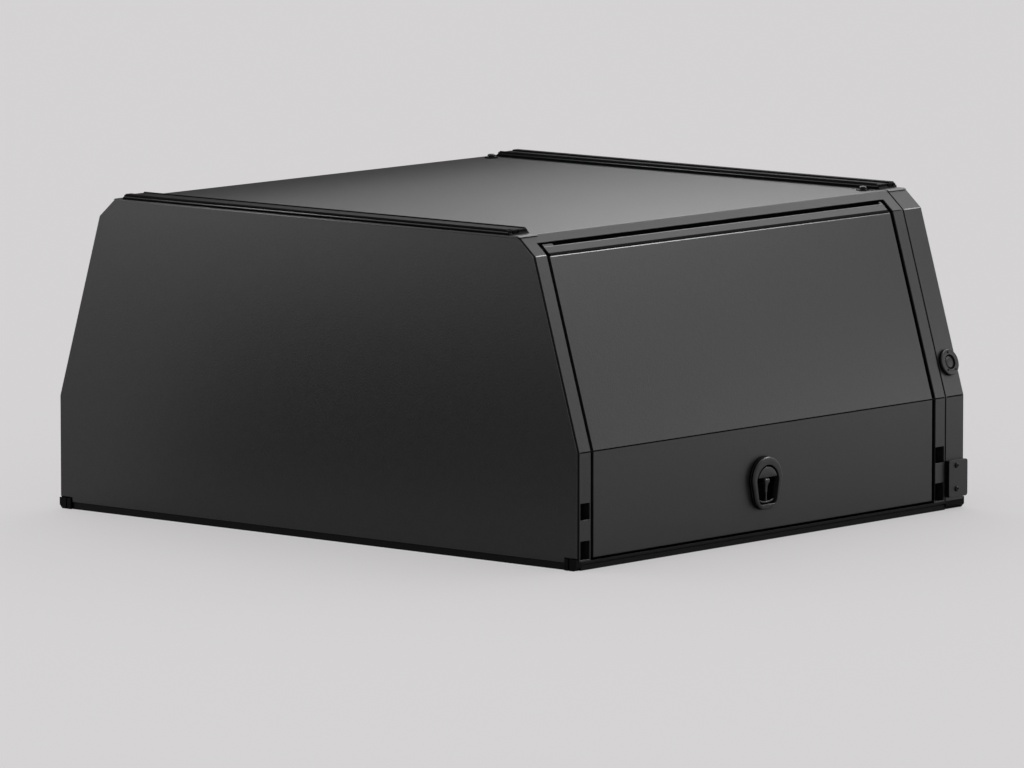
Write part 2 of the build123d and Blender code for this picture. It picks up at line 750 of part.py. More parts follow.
# Door skins: folded pans with a hole for the latch
for sign, side in ((1, "right"), (-1, "left")):
    with BuildPart() as skin:
        with BuildSketch(across(DOOR_FRONT_Y)) as skin_face:
            with BuildLine():
                Polyline(
                    *side_of(
                        sign,
                        door_line(0.0, DOOR_TOP_L, DOOR_LOW_Z)
                        + door_line(DOOR_RETURN, DOOR_TOP_L + DOOR_FLANGE_L, DOOR_LOW_Z)[::-1]
                        + [
                            on_lean(DOOR_TOP_L + DOOR_FLANGE_L, TONGUE_DEPTH),
                            on_lean(DOOR_TOP_L, TONGUE_DEPTH),
                        ],
                    ),
                    close=True,
                )
            make_face()
            fillet(corners(skin_face, side_of(sign, [knee(0.0)])), FOLD_R)
            rims = [on_lean(DOOR_TOP_L, 0.0), (HALF_WIDTH, DOOR_LOW_Z)]
            fillet(corners(skin_face, side_of(sign, rims)), EDGE_R)
        extrude(amount=DOOR_FRONT_Y - DOOR_REAR_Y)
        with BuildSketch(across(DOOR_INSIDE_FRONT_Y)) as pan_face:
            with BuildLine():
                Polyline(
                    *side_of(
                        sign,
                        door_line(SHEET, DOOR_TOP_L + SHEET, DOOR_LOW_Z + SHEET)
                        + door_line(
                            DOOR_RETURN + CUT_PAST, DOOR_TOP_L + SHEET, DOOR_LOW_Z + SHEET
                        )[::-1],
                    ),
                    close=True,
                )
            make_face()
            fillet(corners(pan_face, side_of(sign, [knee(SHEET)])), FOLD_R - SHEET)
        extrude(amount=DOOR_INSIDE_FRONT_Y - DOOR_INSIDE_REAR_Y, mode=Mode.SUBTRACT)
        with BuildSketch(along(sign * HALF_WIDTH, LATCH_Y)) as hole:
            with BuildLine():
                draw_latch(
                    MOUTH_HALF + CUP_OUT,
                    MOUTH_LOW_HALF + CUP_OUT,
                    MOUTH_LOW_Z - CUP_OUT,
                    MOUTH_HIGH_Z + CUP_OUT,
                )
            make_face()
            fillet(hole.vertices().group_by(Axis.Y)[0], MOUTH_CORNER + CUP_OUT)
        extrude(amount=2 * SHEET, both=True, mode=Mode.SUBTRACT)
    save(skin.part, "door_skin_" + side)

# Door ribs behind the skin
rib_top_l = TONGUE_L + RIB_BELOW_TONGUE
for sign, side in ((1, "right"), (-1, "left")):
    with BuildPart() as ribs:
        for rib_y in (DOOR_REAR_Y + RIB_IN + RIB_WIDE, DOOR_FRONT_Y - RIB_IN):
            with BuildSketch(across(rib_y)) as rib_face:
                with BuildLine():
                    Polyline(
                        *side_of(
                            sign,
                            door_line(SHEET, rib_top_l, DOOR_LOW_Z + SHEET)
                            + door_line(DOOR_RETURN, rib_top_l, DOOR_LOW_Z + SHEET)[::-1],
                        ),
                        close=True,
                    )
                make_face()
                fillet(corners(rib_face, side_of(sign, [knee(SHEET)])), FOLD_R - SHEET)
            extrude(amount=RIB_WIDE)
            with BuildSketch(across(rib_y - RIB_WALL)):
                with BuildLine():
                    Polyline(
                        *side_of(
                            sign,
                            door_line(SHEET + RIB_WALL, rib_top_l - CUT_PAST, DOOR_LOW_Z)
                            + door_line(DOOR_RETURN - RIB_WALL, rib_top_l - CUT_PAST, DOOR_LOW_Z)[::-1],
                        ),
                        close=True,
                    )
                make_face()
            extrude(amount=RIB_WIDE - 2 * RIB_WALL, mode=Mode.SUBTRACT)
    save(ribs.part, "door_ribs_" + side)

# Door seals on the posts' lands and on the base rail
for sign, side in ((1, "right"), (-1, "left")):
    with BuildPart() as seal:
        seal_out = LAND_DEPTH - SEAL_TALL
        for seal_y in (OPENING_REAR_Y + LAND_WIDE, FRONT_POST_Y - LAND_WIDE + SEAL_WIDE):
            with BuildSketch(across(seal_y)):
                with BuildLine():
                    Polyline(
                        *side_of(
                            sign,
                            door_line(seal_out, LAND_TOP_L, RAIL_TOP_Z)
                            + door_line(LAND_DEPTH, LAND_TOP_L, RAIL_TOP_Z)[::-1],
                        ),
                        close=True,
                    )
                make_face()
            extrude(amount=SEAL_WIDE)
        low_seal_x = HALF_WIDTH - LAND_DEPTH + SEAL_TALL / 2
        low_seal_z = RAIL_TOP_Z + LAND_WIDE - SEAL_WIDE / 2
        with BuildSketch(across(FRONT_POST_Y - LAND_WIDE)):
            with Locations((sign * low_seal_x, low_seal_z)):
                Rectangle(SEAL_TALL, SEAL_WIDE)
        extrude(amount=OPENING_LONG - 2 * LAND_WIDE)
    save(seal.part, "door_seal_" + side)

# Latches: bezel, cup with its half-moon plate and pin, cam behind the cup, and a folding T handle
EAR_Y = (TRUNNION_WIDE + EAR_THICK) / 2 + EAR_GAP
for sign, side in ((1, "right"), (-1, "left")):
    face_x = sign * HALF_WIDTH
    pin_x = sign * (HALF_WIDTH + PIN_OUT)
    with BuildPart() as bezel:
        with BuildSketch(along(face_x, LATCH_Y)) as bezel_face:
            with BuildLine():
                draw_latch(LATCH_HALF, LATCH_LOW_HALF, LATCH_LOW_Z, LATCH_HIGH_Z)
            make_face()
            fillet(bezel_face.vertices().group_by(Axis.Y)[0], LATCH_CORNER)
        extrude(amount=sign * (LATCH_PROUD - LATCH_EDGE))
        front = bezel.faces().sort_by(Axis.X)[-1 if sign > 0 else 0]
        extrude(front, amount=LATCH_EDGE, taper=45)
        with BuildSketch(along(face_x, LATCH_Y)) as mouth:
            with BuildLine():
                draw_latch(MOUTH_HALF, MOUTH_LOW_HALF, MOUTH_LOW_Z, MOUTH_HIGH_Z)
            make_face()
            fillet(mouth.vertices().group_by(Axis.Y)[0], MOUTH_CORNER)
        extrude(amount=sign * LATCH_PROUD, mode=Mode.SUBTRACT)
    save(bezel.part, "latch_bezel_" + side)

    with BuildPart() as cup:
        with BuildSketch(along(face_x, LATCH_Y)) as cup_face:
            with BuildLine():
                draw_latch(
                    MOUTH_HALF + CUP_WALL,
                    MOUTH_LOW_HALF + CUP_WALL,
                    MOUTH_LOW_Z - CUP_WALL,
                    MOUTH_HIGH_Z + CUP_WALL,
                )
            make_face()
            fillet(cup_face.vertices().group_by(Axis.Y)[0], MOUTH_CORNER + CUP_WALL)
        extrude(amount=-sign * (CUP_DEEP + CUP_WALL))
        with BuildSketch(along(face_x, LATCH_Y)) as cup_mouth:
            with BuildLine():
                draw_latch(MOUTH_HALF, MOUTH_LOW_HALF, MOUTH_LOW_Z, MOUTH_HIGH_Z)
            make_face()
            fillet(cup_mouth.vertices().group_by(Axis.Y)[0], MOUTH_CORNER)
        extrude(amount=-sign * CUP_DEEP, mode=Mode.SUBTRACT)
        with BuildSketch(along(face_x - sign * CUP_DEEP, LATCH_Y)):
            with BuildLine():
                draw_latch(
                    MOUTH_HALF - MOON_GAP,
                    MOUTH_LOW_HALF - MOON_GAP,
                    MOUTH_LOW_Z + MOON_GAP,
                    MOUTH_HIGH_Z - MOON_GAP,
                )
            make_face()
            with Locations((0, MOON_LOW_Z)):
                Rectangle(
                    2 * LATCH_HALF,
                    LATCH_HIGH_Z - LATCH_LOW_Z,
                    align=(Align.CENTER, Align.MAX),
                    mode=Mode.SUBTRACT,
                )
        extrude(amount=sign * (CUP_DEEP + LATCH_PROUD - MOON_SET_BACK))
        for ear_y in (LATCH_Y - EAR_Y, LATCH_Y + EAR_Y):
            with Locations((face_x - sign * (CUP_DEEP - PIN_OUT - PIN_R) / 2, ear_y, PIN_Z)):
                Box(CUP_DEEP + PIN_OUT + PIN_R, EAR_THICK, EAR_TALL)
        with Locations((pin_x, LATCH_Y, PIN_Z)):
            Cylinder(PIN_R, 2 * EAR_Y, rotation=(90, 0, 0))
    save(cup.part, "latch_cup_" + side)

    cup_back_x = sign * (HALF_WIDTH - CUP_DEEP - CUP_WALL)
    cam_z = (LATCH_LOW_Z + LATCH_HIGH_Z) / 2
    with BuildPart() as cam:
        with BuildSketch(along(cup_back_x, LATCH_Y)):
            with Locations((0, cam_z)):
                Circle(CAM_R)
        extrude(amount=-sign * CAM_LONG)
        with Locations((cup_back_x - sign * (CAM_LONG - CAM_ARM_THICK / 2), LATCH_Y + CAM_R, cam_z)):
            Box(CAM_ARM_THICK, CAM_ARM_LONG, CAM_ARM_TALL)
    save(cam.part, "latch_cam_" + side)

    with BuildPart() as handle:
        with Locations((pin_x, LATCH_Y, PIN_Z)):
            Cylinder(TRUNNION_R, TRUNNION_WIDE, rotation=(90, 0, 0))
        with BuildSketch(along(pin_x - sign * STEM_THICK / 2, LATCH_Y)):
            with BuildLine():
                Polyline(
                    (-TRUNNION_WIDE / 2, PIN_Z),
                    (TRUNNION_WIDE / 2, PIN_Z),
                    (STEM_WIDE / 2, PIN_Z - 2 * TRUNNION_R),
                    (STEM_LOW_WIDE / 2, BAR_LOW_Z + BAR_TALL),
                    (STEM_LOW_WIDE / 2, BAR_LOW_Z),
                    (-STEM_LOW_WIDE / 2, BAR_LOW_Z),
                    (-STEM_LOW_WIDE / 2, BAR_LOW_Z + BAR_TALL),
                    (-STEM_WIDE / 2, PIN_Z - 2 * TRUNNION_R),
                    close=True,
                )
            make_face()
        extrude(amount=sign * STEM_THICK)
        with BuildSketch(along(pin_x - sign * BAR_THICK / 2, LATCH_Y)):
            with BuildLine():
                low_end = BAR_LOW_Z + BAR_RISE
                high_end = low_end + BAR_TALL
                ThreePointArc((-BAR_HALF, low_end), (0, BAR_LOW_Z), (BAR_HALF, low_end))
                Line((BAR_HALF, low_end), (BAR_HALF, high_end))
                ThreePointArc((BAR_HALF, high_end), (0, BAR_LOW_Z + BAR_TALL), (-BAR_HALF, high_end))
                Line((-BAR_HALF, high_end), (-BAR_HALF, low_end))
            make_face()
        extrude(amount=sign * BAR_THICK)
        with Locations((pin_x, LATCH_Y, PIN_Z)):
            Cylinder(PIN_R + PIN_FIT, 2 * TRUNNION_WIDE, rotation=(90, 0, 0), mode=Mode.SUBTRACT)
    save(handle.part, "latch_handle_" + side)


# Roof rails across the vehicle: an extrusion with a slot, mitred at both ends, on a thin base plate
def roof_rail_section():
    """Points as distance in from the outer edge and height above the roof."""
    wall = ROOF_RAIL_WALL
    land = ROOF_RAIL_TALL - LAND_DROP
    bead_h = (RAIL_BASE_GAP + ROOF_RAIL_TALL) / 2
    cavity_near = RAIL_LIP - SLOT_UNDERCUT
    slot_far = RAIL_LIP + SLOT_WIDE
    cavity_far = slot_far + SLOT_UNDERCUT
    return [
        (RAIL_BASE_GAP, 0.0),
        (RAIL_BASE_GAP, RAIL_BASE_GAP),
        (0.0, RAIL_BASE_GAP),
        (0.0, bead_h - RAIL_BEAD),
        (-RAIL_BEAD, bead_h),
        (0.0, bead_h + RAIL_BEAD),
        (0.0, ROOF_RAIL_TALL),
        (RAIL_LIP, ROOF_RAIL_TALL),
        (RAIL_LIP, ROOF_RAIL_TALL - wall),
        (cavity_near, ROOF_RAIL_TALL - wall),
        (cavity_near, wall),
        (cavity_far, wall),
        (cavity_far, land - wall),
        (slot_far, land - wall),
        (slot_far, land),
        (ROOF_RAIL_WIDE - INNER_LIP, land),
        (ROOF_RAIL_WIDE - INNER_LIP, ROOF_RAIL_TALL),
        (ROOF_RAIL_WIDE, ROOF_RAIL_TALL),
        (ROOF_RAIL_WIDE, 0.0),
    ]


def roof_rail_chamber():
    wall = ROOF_RAIL_WALL
    near = RAIL_LIP + SLOT_WIDE + SLOT_UNDERCUT + wall
    far = ROOF_RAIL_WIDE - wall
    high = ROOF_RAIL_TALL - LAND_DROP - wall
    return [(near, wall), (far, wall), (far, high), (near, high)]


ROOF_RAIL_END_X = EAVE_X + ROOF_RAIL_PAST
for sign, end in ((-1, "rear"), (1, "front")):
    outer_y = sign * END_INSIDE_Y
    front_y = outer_y if sign > 0 else outer_y + ROOF_RAIL_WIDE
    with BuildPart() as roof_rail:
        with BuildSketch(along(-ROOF_RAIL_END_X)):
            with BuildLine():
                Polyline(
                    *[(outer_y - sign * w, ROOF_Z + h) for w, h in roof_rail_section()], close=True
                )
            make_face()
            with BuildLine():
                Polyline(
                    *[(outer_y - sign * w, ROOF_Z + h) for w, h in roof_rail_chamber()], close=True
                )
            make_face(mode=Mode.SUBTRACT)
        extrude(amount=2 * ROOF_RAIL_END_X)
        with BuildSketch(across(front_y + RAIL_BEAD)):
            with BuildLine():
                Polyline(
                    *both_sides(
                        [
                            (ROOF_RAIL_END_X, ROOF_Z),
                            (ROOF_RAIL_END_X - ROOF_RAIL_MITRE, ROOF_Z + ROOF_RAIL_TALL),
                        ]
                    ),
                    close=True,
                )
            make_face()
        extrude(amount=ROOF_RAIL_WIDE + 2 * RAIL_BEAD, mode=Mode.INTERSECT)
        with BuildSketch(across(front_y)) as plate_face:
            with BuildLine():
                over = [on_cheek(PLATE_DOWN, -PLATE), eave(-PLATE)]
                under = [on_cheek(PLATE_DOWN, 0.0), eave(0.0)]
                Polyline(
                    *(over + mirrored(over)[::-1] + mirrored(under) + under[::-1]), close=True
                )
            make_face()
            fillet(corners(plate_face, [eave(-PLATE)] + mirrored([eave(-PLATE)])), FOLD_R + PLATE)
            fillet(corners(plate_face, [eave(0.0)] + mirrored([eave(0.0)])), FOLD_R)
        extrude(amount=ROOF_RAIL_WIDE)
    save(roof_rail.part, "roof_rail_" + end)

# Bolts with washers on the roof, behind the front rail
with BuildPart() as roof_bolts:
    with BuildSketch(Plane.XY.offset(ROOF_Z)):
        with Locations((0, HALF_LENGTH - ROOF_BOLT_BACK)):
            with GridLocations(2 * (EAVE_X - ROOF_BOLT_IN), 0, 2, 1):
                Circle(WASHER_R)
    extrude(amount=WASHER_THICK)
    with BuildSketch(Plane.XY.offset(ROOF_Z + WASHER_THICK)):
        with Locations((0, HALF_LENGTH - ROOF_BOLT_BACK)):
            with GridLocations(2 * (EAVE_X - ROOF_BOLT_IN), 0, 2, 1):
                Circle(ROOF_BOLT_R)
    extrude(amount=ROOF_BOLT_TALL - WASHER_THICK)
save(roof_bolts.part, "roof_bolts")

# Round port on the right front strip
PORT_ALONG = (CHEEK_Z - KNEE_Z - PORT_ABOVE_KNEE) / -LEAN_DOWN[1]
PORT_X, PORT_Z = on_lean(PORT_ALONG, 0.0)
port_plane = Plane(
    origin=(PORT_X, HALF_LENGTH - PORT_BACK, PORT_Z),
    x_dir=(0, 1, 0),
    z_dir=(LEAN_OUT[0], 0, LEAN_OUT[1]),
)
with BuildPart() as port_flange:
    with BuildSketch(port_plane):
        Circle(PORT_R)
    extrude(amount=PORT_TALL)
    with BuildSketch(port_plane.offset(PORT_TALL)):
        Circle(PORT_CAP_R + PORT_CAP_GAP)
    extrude(amount=PORT_FLOOR - PORT_TALL, mode=Mode.SUBTRACT)
save(port_flange.part, "port_flange")

with BuildPart() as port_cap:
    with BuildSketch(port_plane.offset(PORT_FLOOR)):
        Circle(PORT_CAP_R)
    extrude(amount=PORT_CAP_TALL)
save(port_cap.part, "port_cap")

# Front corner brackets and their bolts
bracket_mid_y = (STRIP_Y + HALF_LENGTH + BRACKET_PAST) / 2
bracket_mid_z = (BRACKET_LOW_Z + BRACKET_HIGH_Z) / 2
for sign, side in ((1, "right"), (-1, "left")):
    with BuildPart() as bracket:
        with BuildSketch(along(sign * HALF_WIDTH, bracket_mid_y)):
            with Locations((0, bracket_mid_z)):
                RectangleRounded(
                    STRIP_WIDE + BRACKET_PAST, BRACKET_HIGH_Z - BRACKET_LOW_Z, BRACKET_CORNER
                )
        extrude(amount=sign * BRACKET_THICK)
    save(bracket.part, "bracket_" + side)

with BuildPart() as bracket_bolts:
    for sign in (1, -1):
        with BuildSketch(along(sign * (HALF_WIDTH + BRACKET_THICK), HALF_LENGTH - BRACKET_BOLT_BACK)):
            for z in (BRACKET_LOW_Z + BRACKET_BOLT_IN_LOW, BRACKET_HIGH_Z - BRACKET_BOLT_IN_HIGH):
                with Locations((0, z)):
                    Circle(BRACKET_BOLT_R)
        extrude(amount=sign * BRACKET_BOLT_TALL)
save(bracket_bolts.part, "bracket_bolts")
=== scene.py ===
"""Pickup truck canopy: finishes, latches, port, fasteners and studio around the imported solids."""
import json
import math

import bpy
import numpy as np
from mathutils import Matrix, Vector


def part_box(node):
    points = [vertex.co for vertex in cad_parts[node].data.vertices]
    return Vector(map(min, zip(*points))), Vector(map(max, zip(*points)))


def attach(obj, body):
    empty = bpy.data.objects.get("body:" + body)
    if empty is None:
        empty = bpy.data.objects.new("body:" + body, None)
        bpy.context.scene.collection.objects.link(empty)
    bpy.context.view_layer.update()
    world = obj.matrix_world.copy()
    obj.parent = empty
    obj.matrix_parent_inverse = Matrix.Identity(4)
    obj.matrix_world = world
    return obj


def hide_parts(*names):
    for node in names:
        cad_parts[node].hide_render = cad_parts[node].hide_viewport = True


bl_info = {
    "name": "Pickup Truck Canopy",
    "version": (1, 0, 0),
    "blender": (4, 5, 0),
    "location": "View3D > Sidebar > Canopy",
    "description": "Builds the finishes and small pieces of a black powder-coated tray canopy",
    "category": "Object",
}

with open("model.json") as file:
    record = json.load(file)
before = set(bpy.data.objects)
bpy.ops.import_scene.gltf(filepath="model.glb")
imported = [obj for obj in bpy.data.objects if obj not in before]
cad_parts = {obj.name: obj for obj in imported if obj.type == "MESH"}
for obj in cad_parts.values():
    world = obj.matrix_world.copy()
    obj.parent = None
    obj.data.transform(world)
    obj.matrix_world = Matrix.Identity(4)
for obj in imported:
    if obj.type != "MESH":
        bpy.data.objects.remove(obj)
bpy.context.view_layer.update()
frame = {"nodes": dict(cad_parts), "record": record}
SLOT_OF = {row["node"]: row["material_slot"] for row in frame["record"]["subparts"]}

MM = 0.001
SIDES = ((1, "right"), (-1, "left"))
ACROSS, ALONG, UP = (1, 0, 0), (0, 1, 0), (0, 0, 1)
SHARP = math.radians(30.0)
OUTLINE_STEPS = 4000
OUTLINE_EASE = 2.0 * MM
MOON_EASE = 1.6 * MM
MOON_MIDDLE = 12.0 * MM
ROD_END = 1.0 * MM


def linear(hex_code):
    """A written sRGB colour as linear values: each channel c becomes ((c + 0.055) / 1.055) ** 2.4."""
    channels = [int(hex_code[i:i + 2], 16) / 255 for i in (0, 2, 4)]
    return tuple(c / 12.92 if c <= 0.04045 else ((c + 0.055) / 1.055) ** 2.4 for c in channels)


# Sizes and colours that a user may change

def length(name, description, default):
    """A length in metres that a user may change."""
    return bpy.props.FloatProperty(name=name, description=description, unit="LENGTH", default=default)


def tint(name, description, hex_code):
    """A colour that a user may change, written as sRGB."""
    return bpy.props.FloatVectorProperty(
        name=name, description=description, subtype="COLOR", size=3, default=linear(hex_code))


class CanopyFinish(bpy.types.PropertyGroup):
    coat: tint("Powder coat", "Colour of the coat on sheets and posts", "1E1E20")
    coat_deep: tint("Powder coat, deep", "Darker tone in the hollows of the coat's texture", "101012")
    extrusion: tint("Extrusion coat", "Colour of the coat on the roof rails and of the port", "101012")
    base: tint("Base rail coat", "Colour of the coat on the base rails", "0C0C0D")
    # Colour of real rubber and feet, and also of the black pieces that paint shade in folds, gaps, grooves
    # and the latch's recess
    rubber_and_painted_shade: tint("Rubber", "Colour of gaskets, seals, feet and the inside of a latch", "060606")
    peel: length("Orange peel", "Width of the coat's gentle waves", 5.0 * MM)
    grain: length("Coat grain", "Width of the coat's fine grain", 1.6 * MM)


class CanopyLatch(bpy.types.PropertyGroup):
    half: length("Half width", "Half width of the bezel at its shoulders", 60.5 * MM)
    low_half: length("Low half width", "Half width of the bezel at its foot", 43.5 * MM)
    corner: length("Foot corner", "Radius of the bezel's lower corners", 45.0 * MM)
    mouth_half: length("Mouth half width", "Half width of the hand recess at its shoulders", 46.0 * MM)
    mouth_low_half: length("Mouth low half width", "Half width of the hand recess at its foot", 35.0 * MM)
    mouth_low: length("Mouth foot", "Height of the hand recess's foot", 99.3 * MM)
    mouth_high: length("Mouth top", "Height of the hand recess's top", 204.0 * MM)
    mouth_corner: length("Mouth corner", "Radius of the hand recess's lower corners", 14.0 * MM)
    shoulder: length("Shoulder height", "Height at which the round top starts", 160.0 * MM)
    edge: length("Edge rounding", "Rounding of the bezel's outer front edge", 5.0 * MM)
    lip: length("Lip rounding", "Rounding of the mouth's rim and of the half-moon plate", 1.5 * MM)
    wall: length("Cup wall", "Wall thickness of the hand recess", 2.5 * MM)
    cup_round: length("Cup rounding", "Rounding between the recess's wall and its floor", 5.0 * MM)
    moon_gap: length("Plate gap", "Gap between the half-moon plate and the recess's wall", 5.0 * MM)
    moon_low: length("Plate lower edge", "Height of the half-moon plate's lower edge", 171.0 * MM)
    moon_set_back: length(
        "Plate set-back", "How far the half-moon plate lies behind the bezel's front", 1.5 * MM)
    crown: length("Plate crown", "Height of the half-moon plate's bulge", 0.7 * MM)
    pin_out: length("Pin", "Distance of the handle's pin from the door's face", 7.5 * MM)
    pin_high: length("Pin height", "Height of the handle's pin", 162.0 * MM)
    trunnion: length("Handle head", "Radius of the handle's head about its pin", 7.0 * MM)
    bar_half: length("Crossbar", "Half length of the handle's crossbar", 30.0 * MM)
    bar_low: length("Crossbar height", "Height of the crossbar's lower edge at its middle", 101.6 * MM)
    bar_rise: length("Crossbar rise", "How much higher the crossbar's ends are than its middle", 5.5 * MM)
    colour: tint("Latch colour", "Colour of the bezel and the half-moon plate", "1C1C1E")


class CanopyPort(bpy.types.PropertyGroup):
    rounding: length("Flange rounding", "Rounding of the flange's outer front edge", 3.0 * MM)
    tall: length("Flange height", "Height of the flange above the strip", 10.0 * MM)
    bore: length("Bore", "Radius of the recess round the cap", 20.5 * MM)
    rim_round: length("Bore rounding", "Rounding of the recess's rim", 1.2 * MM)
    floor: length("Recess floor", "Height of the recess's floor above the strip", 2.0 * MM)
    cap: length("Cap", "Radius of the cap", 15.8 * MM)
    cap_high: length("Cap height", "Height of the cap's middle above the strip", 8.0 * MM)
    screw_circle: length("Screw circle", "Radius of the circle that the three screws stand on", 27.0 * MM)
    screw_radius: length("Screw head", "Radius of a screw head", 3.4 * MM)


class CanopyFasteners(bpy.types.PropertyGroup):
    socket: length(
        "Bracket screw socket", "Half width across corners of the socket in a bracket screw", 2.9 * MM)
    socket_deep: length("Socket depth", "Depth of the socket in a bracket screw", 2.6 * MM)


class CanopySeams(bpy.types.PropertyGroup):
    knee: length("Fold height", "Height of the fold between the upright and the leaning face", 309.0 * MM)
    lean_in: length("Lean", "How far the leaning face leans in over its height", 151.0 * MM)
    cheek_tall: length("Cheek height", "Height of the sloping cheek below the roof", 49.3 * MM)
    cheek_across: length("Cheek width", "Width of the sloping cheek, seen from above", 57.0 * MM)
    # The fold line is a dark strip of painted shade along the fold
    line_tall: length("Fold line", "Height of the dark line along the fold", 3.8 * MM)
    line_proud: length("Fold line proud", "How far the line stands out of the face", 0.1 * MM)
    line_in: length("Fold line ends", "How far the line stops short of the sheet's edges", 2.5 * MM)
    land: length(
        "Seal land", "Width of the ledge behind the door that the posts carry for its seal", 24.0 * MM)
    # The seal lip is black and paints the shade of the front gap wider
    lip: length("Seal lip", "How far the front seal's lip reaches over the post's face", 3.5 * MM)
    hem: length("Hem", "Width of the rolled hems along the folded sheets' edges", 2.2 * MM)


class CanopyRails(bpy.types.PropertyGroup):
    lip: length("Lip", "Radius of the rounded lips along the roof rails", 1.4 * MM)
    reach: length("Reach", "Half length of the rails at their foot", 694.0 * MM)
    mitre: length("Mitre", "How much shorter each end of a rail is at its top", 16.0 * MM)
    bead: length("Bead", "How far the rail's bead stands out of its outer face", 1.5 * MM)


class CanopyStage(bpy.types.PropertyGroup):
    backdrop: tint("Backdrop", "Pale colour of the backdrop", "D4D2D3")
    floor: tint("Floor", "Pale colour of the floor", "D4D2D3")
    floor_even: bpy.props.FloatProperty(
        name="Even floor", description="Share of the floor's colour that no shadow takes away",
        default=0.62)
    azimuth: bpy.props.FloatProperty(
        name="Camera azimuth", description="Turn of the camera about the upright axis",
        subtype="ANGLE", unit="ROTATION", default=math.radians(40.8856))
    elevation: bpy.props.FloatProperty(
        name="Camera elevation", description="Height of the camera above the horizon",
        subtype="ANGLE", unit="ROTATION", default=math.radians(7.13293))


# Surfaces

def grid_faces(rows, columns, close_rows, close_columns):
    """Four corners of every cell of a grid, as one array: cell (i, j) takes points (i, j), (i, j+1),
    (i+1, j+1) and (i+1, j), counted round again where a direction is closed."""
    i = np.arange(rows if close_rows else rows - 1)[:, None]
    j = np.arange(columns if close_columns else columns - 1)[None, :]
    i2 = (i + 1) % rows
    j2 = (j + 1) % columns
    corners = [i * columns + j, i * columns + j2, i2 * columns + j2, i2 * columns + j]
    return np.stack([np.broadcast_to(c, (i.shape[0], j.shape[1])).ravel() for c in corners], axis=1)


def shell(grid, ring=False):
    """Points and faces of one closed shell. Each row of the grid is a closed ring of points. With ring set,
    the last row joins the first; otherwise the first and last rows each close on their middle point."""
    rows, columns = grid.shape[:2]
    points = grid.reshape(-1, 3)
    quads = grid_faces(rows, columns, ring, True)
    if ring:
        return points, quads, np.zeros((0, 3), int)
    first = len(points)
    points = np.vstack([points, grid[0].mean(0), grid[-1].mean(0)])
    j = np.arange(columns)
    j2 = (j + 1) % columns
    last = (rows - 1) * columns
    start = np.stack([np.full(columns, first), j2, j], axis=1)
    end = np.stack([np.full(columns, first + 1), last + j, last + j2], axis=1)
    return points, quads, np.vstack([start, end])


def volume(points, quads, triangles):
    """Signed volume inside a closed shell: a sixth of the sum of corner products over its triangles."""
    whole = np.vstack([quads[:, [0, 1, 2]], quads[:, [0, 2, 3]], triangles])
    a, b, c = (points[whole[:, k]] for k in range(3))
    return np.einsum("ij,ij->i", a, np.cross(b, c)).sum() / 6


def piece(name, shells, body, coat, replaced=()):
    """One mesh object from closed shells, each turned so that its faces point outwards. Its material is the
    one named like its coat."""
    points, quads, triangles, count = [], [], [], 0
    for shell_points, shell_quads, shell_triangles in shells:
        if volume(shell_points - shell_points.mean(0), shell_quads, shell_triangles) < 0:
            shell_quads = shell_quads[:, ::-1]
            shell_triangles = shell_triangles[:, ::-1]
        points.append(shell_points)
        quads.append(shell_quads + count)
        triangles.append(shell_triangles + count)
        count += len(shell_points)
    mesh = bpy.data.meshes.new(name)
    faces = np.vstack(quads).tolist() + np.vstack(triangles).tolist()
    mesh.from_pydata(np.vstack(points).tolist(), [], faces)
    mesh.update()
    mesh.shade_smooth()
    mesh.set_sharp_from_angle(angle=SHARP)
    mesh.materials.append(MATERIALS[coat])
    new = bpy.data.objects.new(name, mesh)
    bpy.context.scene.collection.objects.link(new)
    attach(new, body)
    if replaced:
        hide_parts(*replaced)


def turned(profile, origin, axis, across, count):
    """A profile of (radius, height, corners) rows turned about an axis: each point is the origin plus its
    height along the axis plus its radius times cos and sin of the turn. Where corners is 1 the ring is a
    hexagon: its radius is cos 30 over the cosine of the turn from the nearest flat's middle."""
    origin, axis, across = (np.array(v, float) for v in (origin, axis, across))
    other = np.cross(axis, across)
    turn = np.linspace(0, 2 * np.pi, count, endpoint=False)
    circle = np.cos(turn)[:, None] * across + np.sin(turn)[:, None] * other
    hexagon = math.cos(math.pi / 6) / np.cos(turn % (math.pi / 3) - math.pi / 6)
    rows = np.array([(*row, 0.0)[:3] for row in profile], float)
    reach = rows[:, 0][:, None] * (1.0 + rows[:, 2][:, None] * (hexagon - 1.0)[None, :])
    grid = origin + rows[:, 1][:, None, None] * axis + reach[:, :, None] * circle[None]
    return shell(grid)


def button_head(radius, tall, socket, deep):
    """Rows of a round screw head with a hexagon socket: a short straight edge, a quarter of an ellipse up to
    the socket's rim, and the socket's walls."""
    rim, ease, edge = 0.9 * MM, 0.3 * MM, 0.18
    flat = socket + rim
    rise = [(flat + (radius - flat) * math.cos(a), tall * (edge + (1 - edge) * math.sin(a)))
            for a in np.radians(np.linspace(0, 90, 8))]
    return ([(radius, 0.0)] + rise
            + [(socket + ease, tall), (socket, tall - ease, 1.0), (socket, tall - deep, 1.0)])


